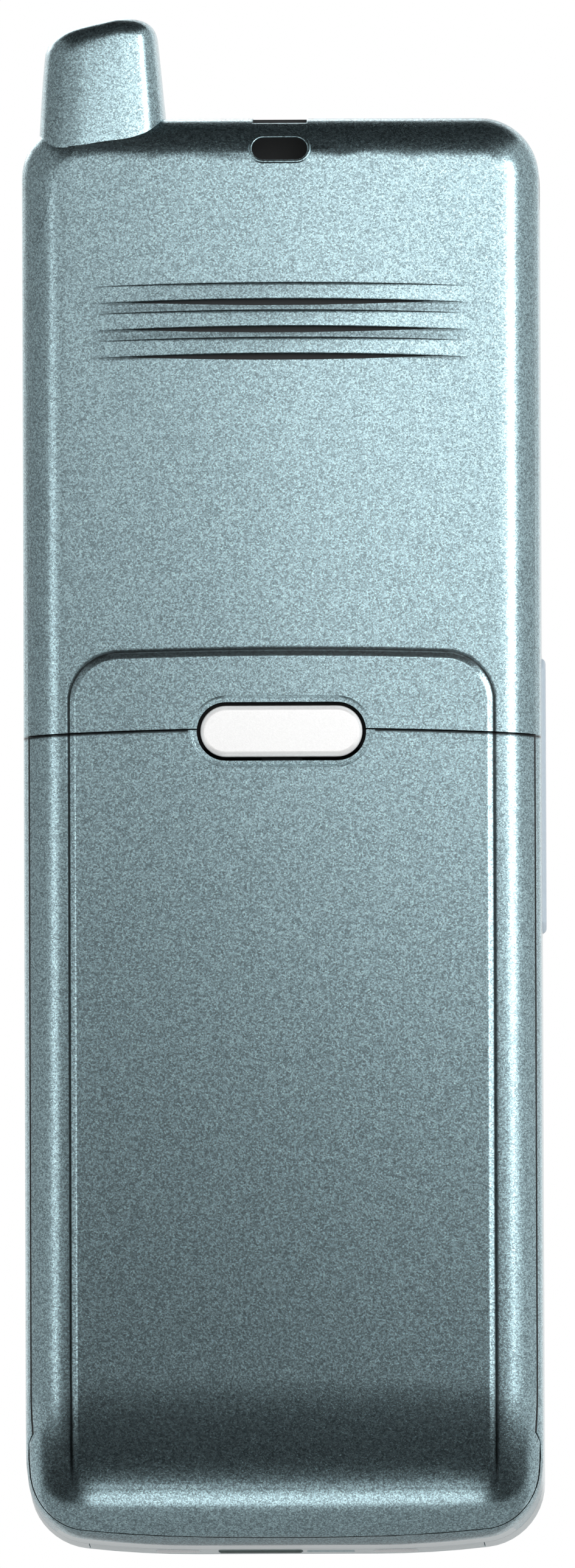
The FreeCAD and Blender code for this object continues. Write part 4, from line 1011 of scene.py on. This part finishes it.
def one_sided_floor(paper):
    """The floor as seen from above; from below, where the camera is, it lets the view through.

    Reflections see it at an even brightness.
    """
    tree, links = paper.node_tree.nodes, paper.node_tree.links
    facing = tree.new("ShaderNodeNewGeometry").outputs["Backfacing"]
    path = tree.new("ShaderNodeLightPath")
    clear = tree.new("ShaderNodeBsdfTransparent")
    pale = tree.new("ShaderNodeEmission")
    pale.inputs["Strength"].default_value = FLOOR_GLOW
    from_below = tree.new("ShaderNodeMath")
    from_below.operation = "MULTIPLY"
    links.new(facing, from_below.inputs[0])
    links.new(path.outputs["Is Camera Ray"], from_below.inputs[1])
    surface = tree["Principled BSDF"].outputs[0]
    for factor, other in ((path.outputs["Is Glossy Ray"], pale), (from_below.outputs[0], clear)):
        mix = tree.new("ShaderNodeMixShader")
        links.new(factor, mix.inputs[0])
        links.new(surface, mix.inputs[1])
        links.new(other.outputs[0], mix.inputs[2])
        surface = mix.outputs[0]
    links.new(surface, tree["Material Output"].inputs[0])


def lamp(name, place, aim, width, height, radiance):
    """A soft panel of even brightness that shines one way, towards its aim."""
    light = bpy.data.lights.new(name, "AREA")
    light.shape = "RECTANGLE"
    light.size = width
    light.size_y = height
    light.energy = math.pi * width * height * radiance
    thing = bpy.data.objects.new(name, light)
    bpy.context.scene.collection.objects.link(thing)
    thing.location = place
    thing.rotation_euler = (Vector(aim) - Vector(place)).to_track_quat("-Z", "Y").to_euler()
    thing.visible_camera = False


def light_world():
    """A white world: full to the camera and in reflections and glass, weaker as a light."""
    world = bpy.data.worlds.new("studio")
    bpy.context.scene.world = world
    world.use_nodes = True
    tree, links = world.node_tree.nodes, world.node_tree.links
    path = tree.new("ShaderNodeLightPath")
    seen = path.outputs["Is Camera Ray"]
    for ray in ("Is Glossy Ray", "Is Transmission Ray"):
        either = tree.new("ShaderNodeMath")
        either.operation = "MAXIMUM"
        links.new(seen, either.inputs[0])
        links.new(path.outputs[ray], either.inputs[1])
        seen = either.outputs[0]
    strength = tree.new("ShaderNodeMapRange")
    links.new(seen, strength.inputs["Value"])
    strength.inputs["To Min"].default_value = WORLD_FILL
    strength.inputs["To Max"].default_value = 1.0
    background = tree["Background"]
    links.new(strength.outputs["Result"], background.inputs["Strength"])
    background.inputs["Color"].default_value = (1, 1, 1, 1)


one_sided_floor(floor_paper)
sheet("studio_floor", (0, 0, 0), (FLOOR_HALF, 0, 0), (0, FLOOR_HALF, 0), floor_paper, False)
black = flag_cloth("flag_black", 0.0)
sheet("flag_behind_camera", (0, 2.2, 0.75), (2.2, 0, 0), (0, 0, 0.8), black)
sheet("flag_above", (0, 0.4, 1.5), (2.2, 0, 0), (0, 1.9, 0), black)
sheet("flag_left", (1.4, 0.4, 0.75), (0, 1.8, 0), (0, 0, 0.8), flag_cloth("flag_left_grey", 0.27))
sheet("flag_right", (-1.4, 0.4, 0.75), (0, 1.8, 0), (0, 0, 0.8), flag_cloth("flag_right_grey", 0.5))
floor_flag("flag_low", 0.0117, 1.03, black)
floor_flag("flag_near", 0.003, 0.0117, flag_cloth("flag_near_grey", 0.3))

lamp("key_softbox", (-0.15, 0.45, 0.195), (-0.15, 0, 0.195), 0.32, 0.21, 1.85)
lamp("left_fill", (0.155, 0.45, 0.195), (0.155, 0, 0.195), 0.29, 0.21, 0.52)
lamp("right_strip", (-0.368, 0.335, 0.19), (0, 0, 0.19), 0.14, 0.25, 6.0)
lamp("left_strip", (0.34, 0.37, 0.06), (0, 0, 0.06), 0.12, 0.18, 1.35)
lamp("foot_strip", (0, 0.0131, 0.001), (0, 0.0131, 1), 0.036, 0.0034, 1.3)
lamp("front_softbox", (0.3, -0.9, 0.6), (0, 0, 0.07), 0.6, 0.6, 1.5)
light_world()


# Camera: behind the handset and a little below its foot, far off, so that its sides stay parallel

FRAME_TALL = 2576               # the picture's height in pixels
PIXELS_PER_METRE = 18440        # at the handset
DISTANCE = 2.6
SENSOR = 24                     # in millimetres

azimuth, elevation, roll = math.radians(179.1), math.radians(-2.3), math.radians(-0.2)
aim = Vector((-0.00035, 0.0, 0.06845))
direction = Vector((-math.sin(azimuth), -math.cos(azimuth), 0)) * math.cos(elevation)
direction.z = math.sin(elevation)
camera_data = bpy.data.cameras.new("camera")
camera_data.sensor_fit = "VERTICAL"
camera_data.sensor_height = SENSOR
camera_data.lens = SENSOR * DISTANCE * PIXELS_PER_METRE / FRAME_TALL
camera_data.clip_end = 20
camera = bpy.data.objects.new("camera", camera_data)
bpy.context.scene.collection.objects.link(camera)
camera.location = aim + direction * DISTANCE
upright = (-direction).to_track_quat("-Z", "Y")
camera.rotation_euler = (upright @ Quaternion((0, 0, 1), roll)).to_euler()
bpy.context.scene.camera = camera
bpy.context.scene.view_settings.view_transform = "Standard"
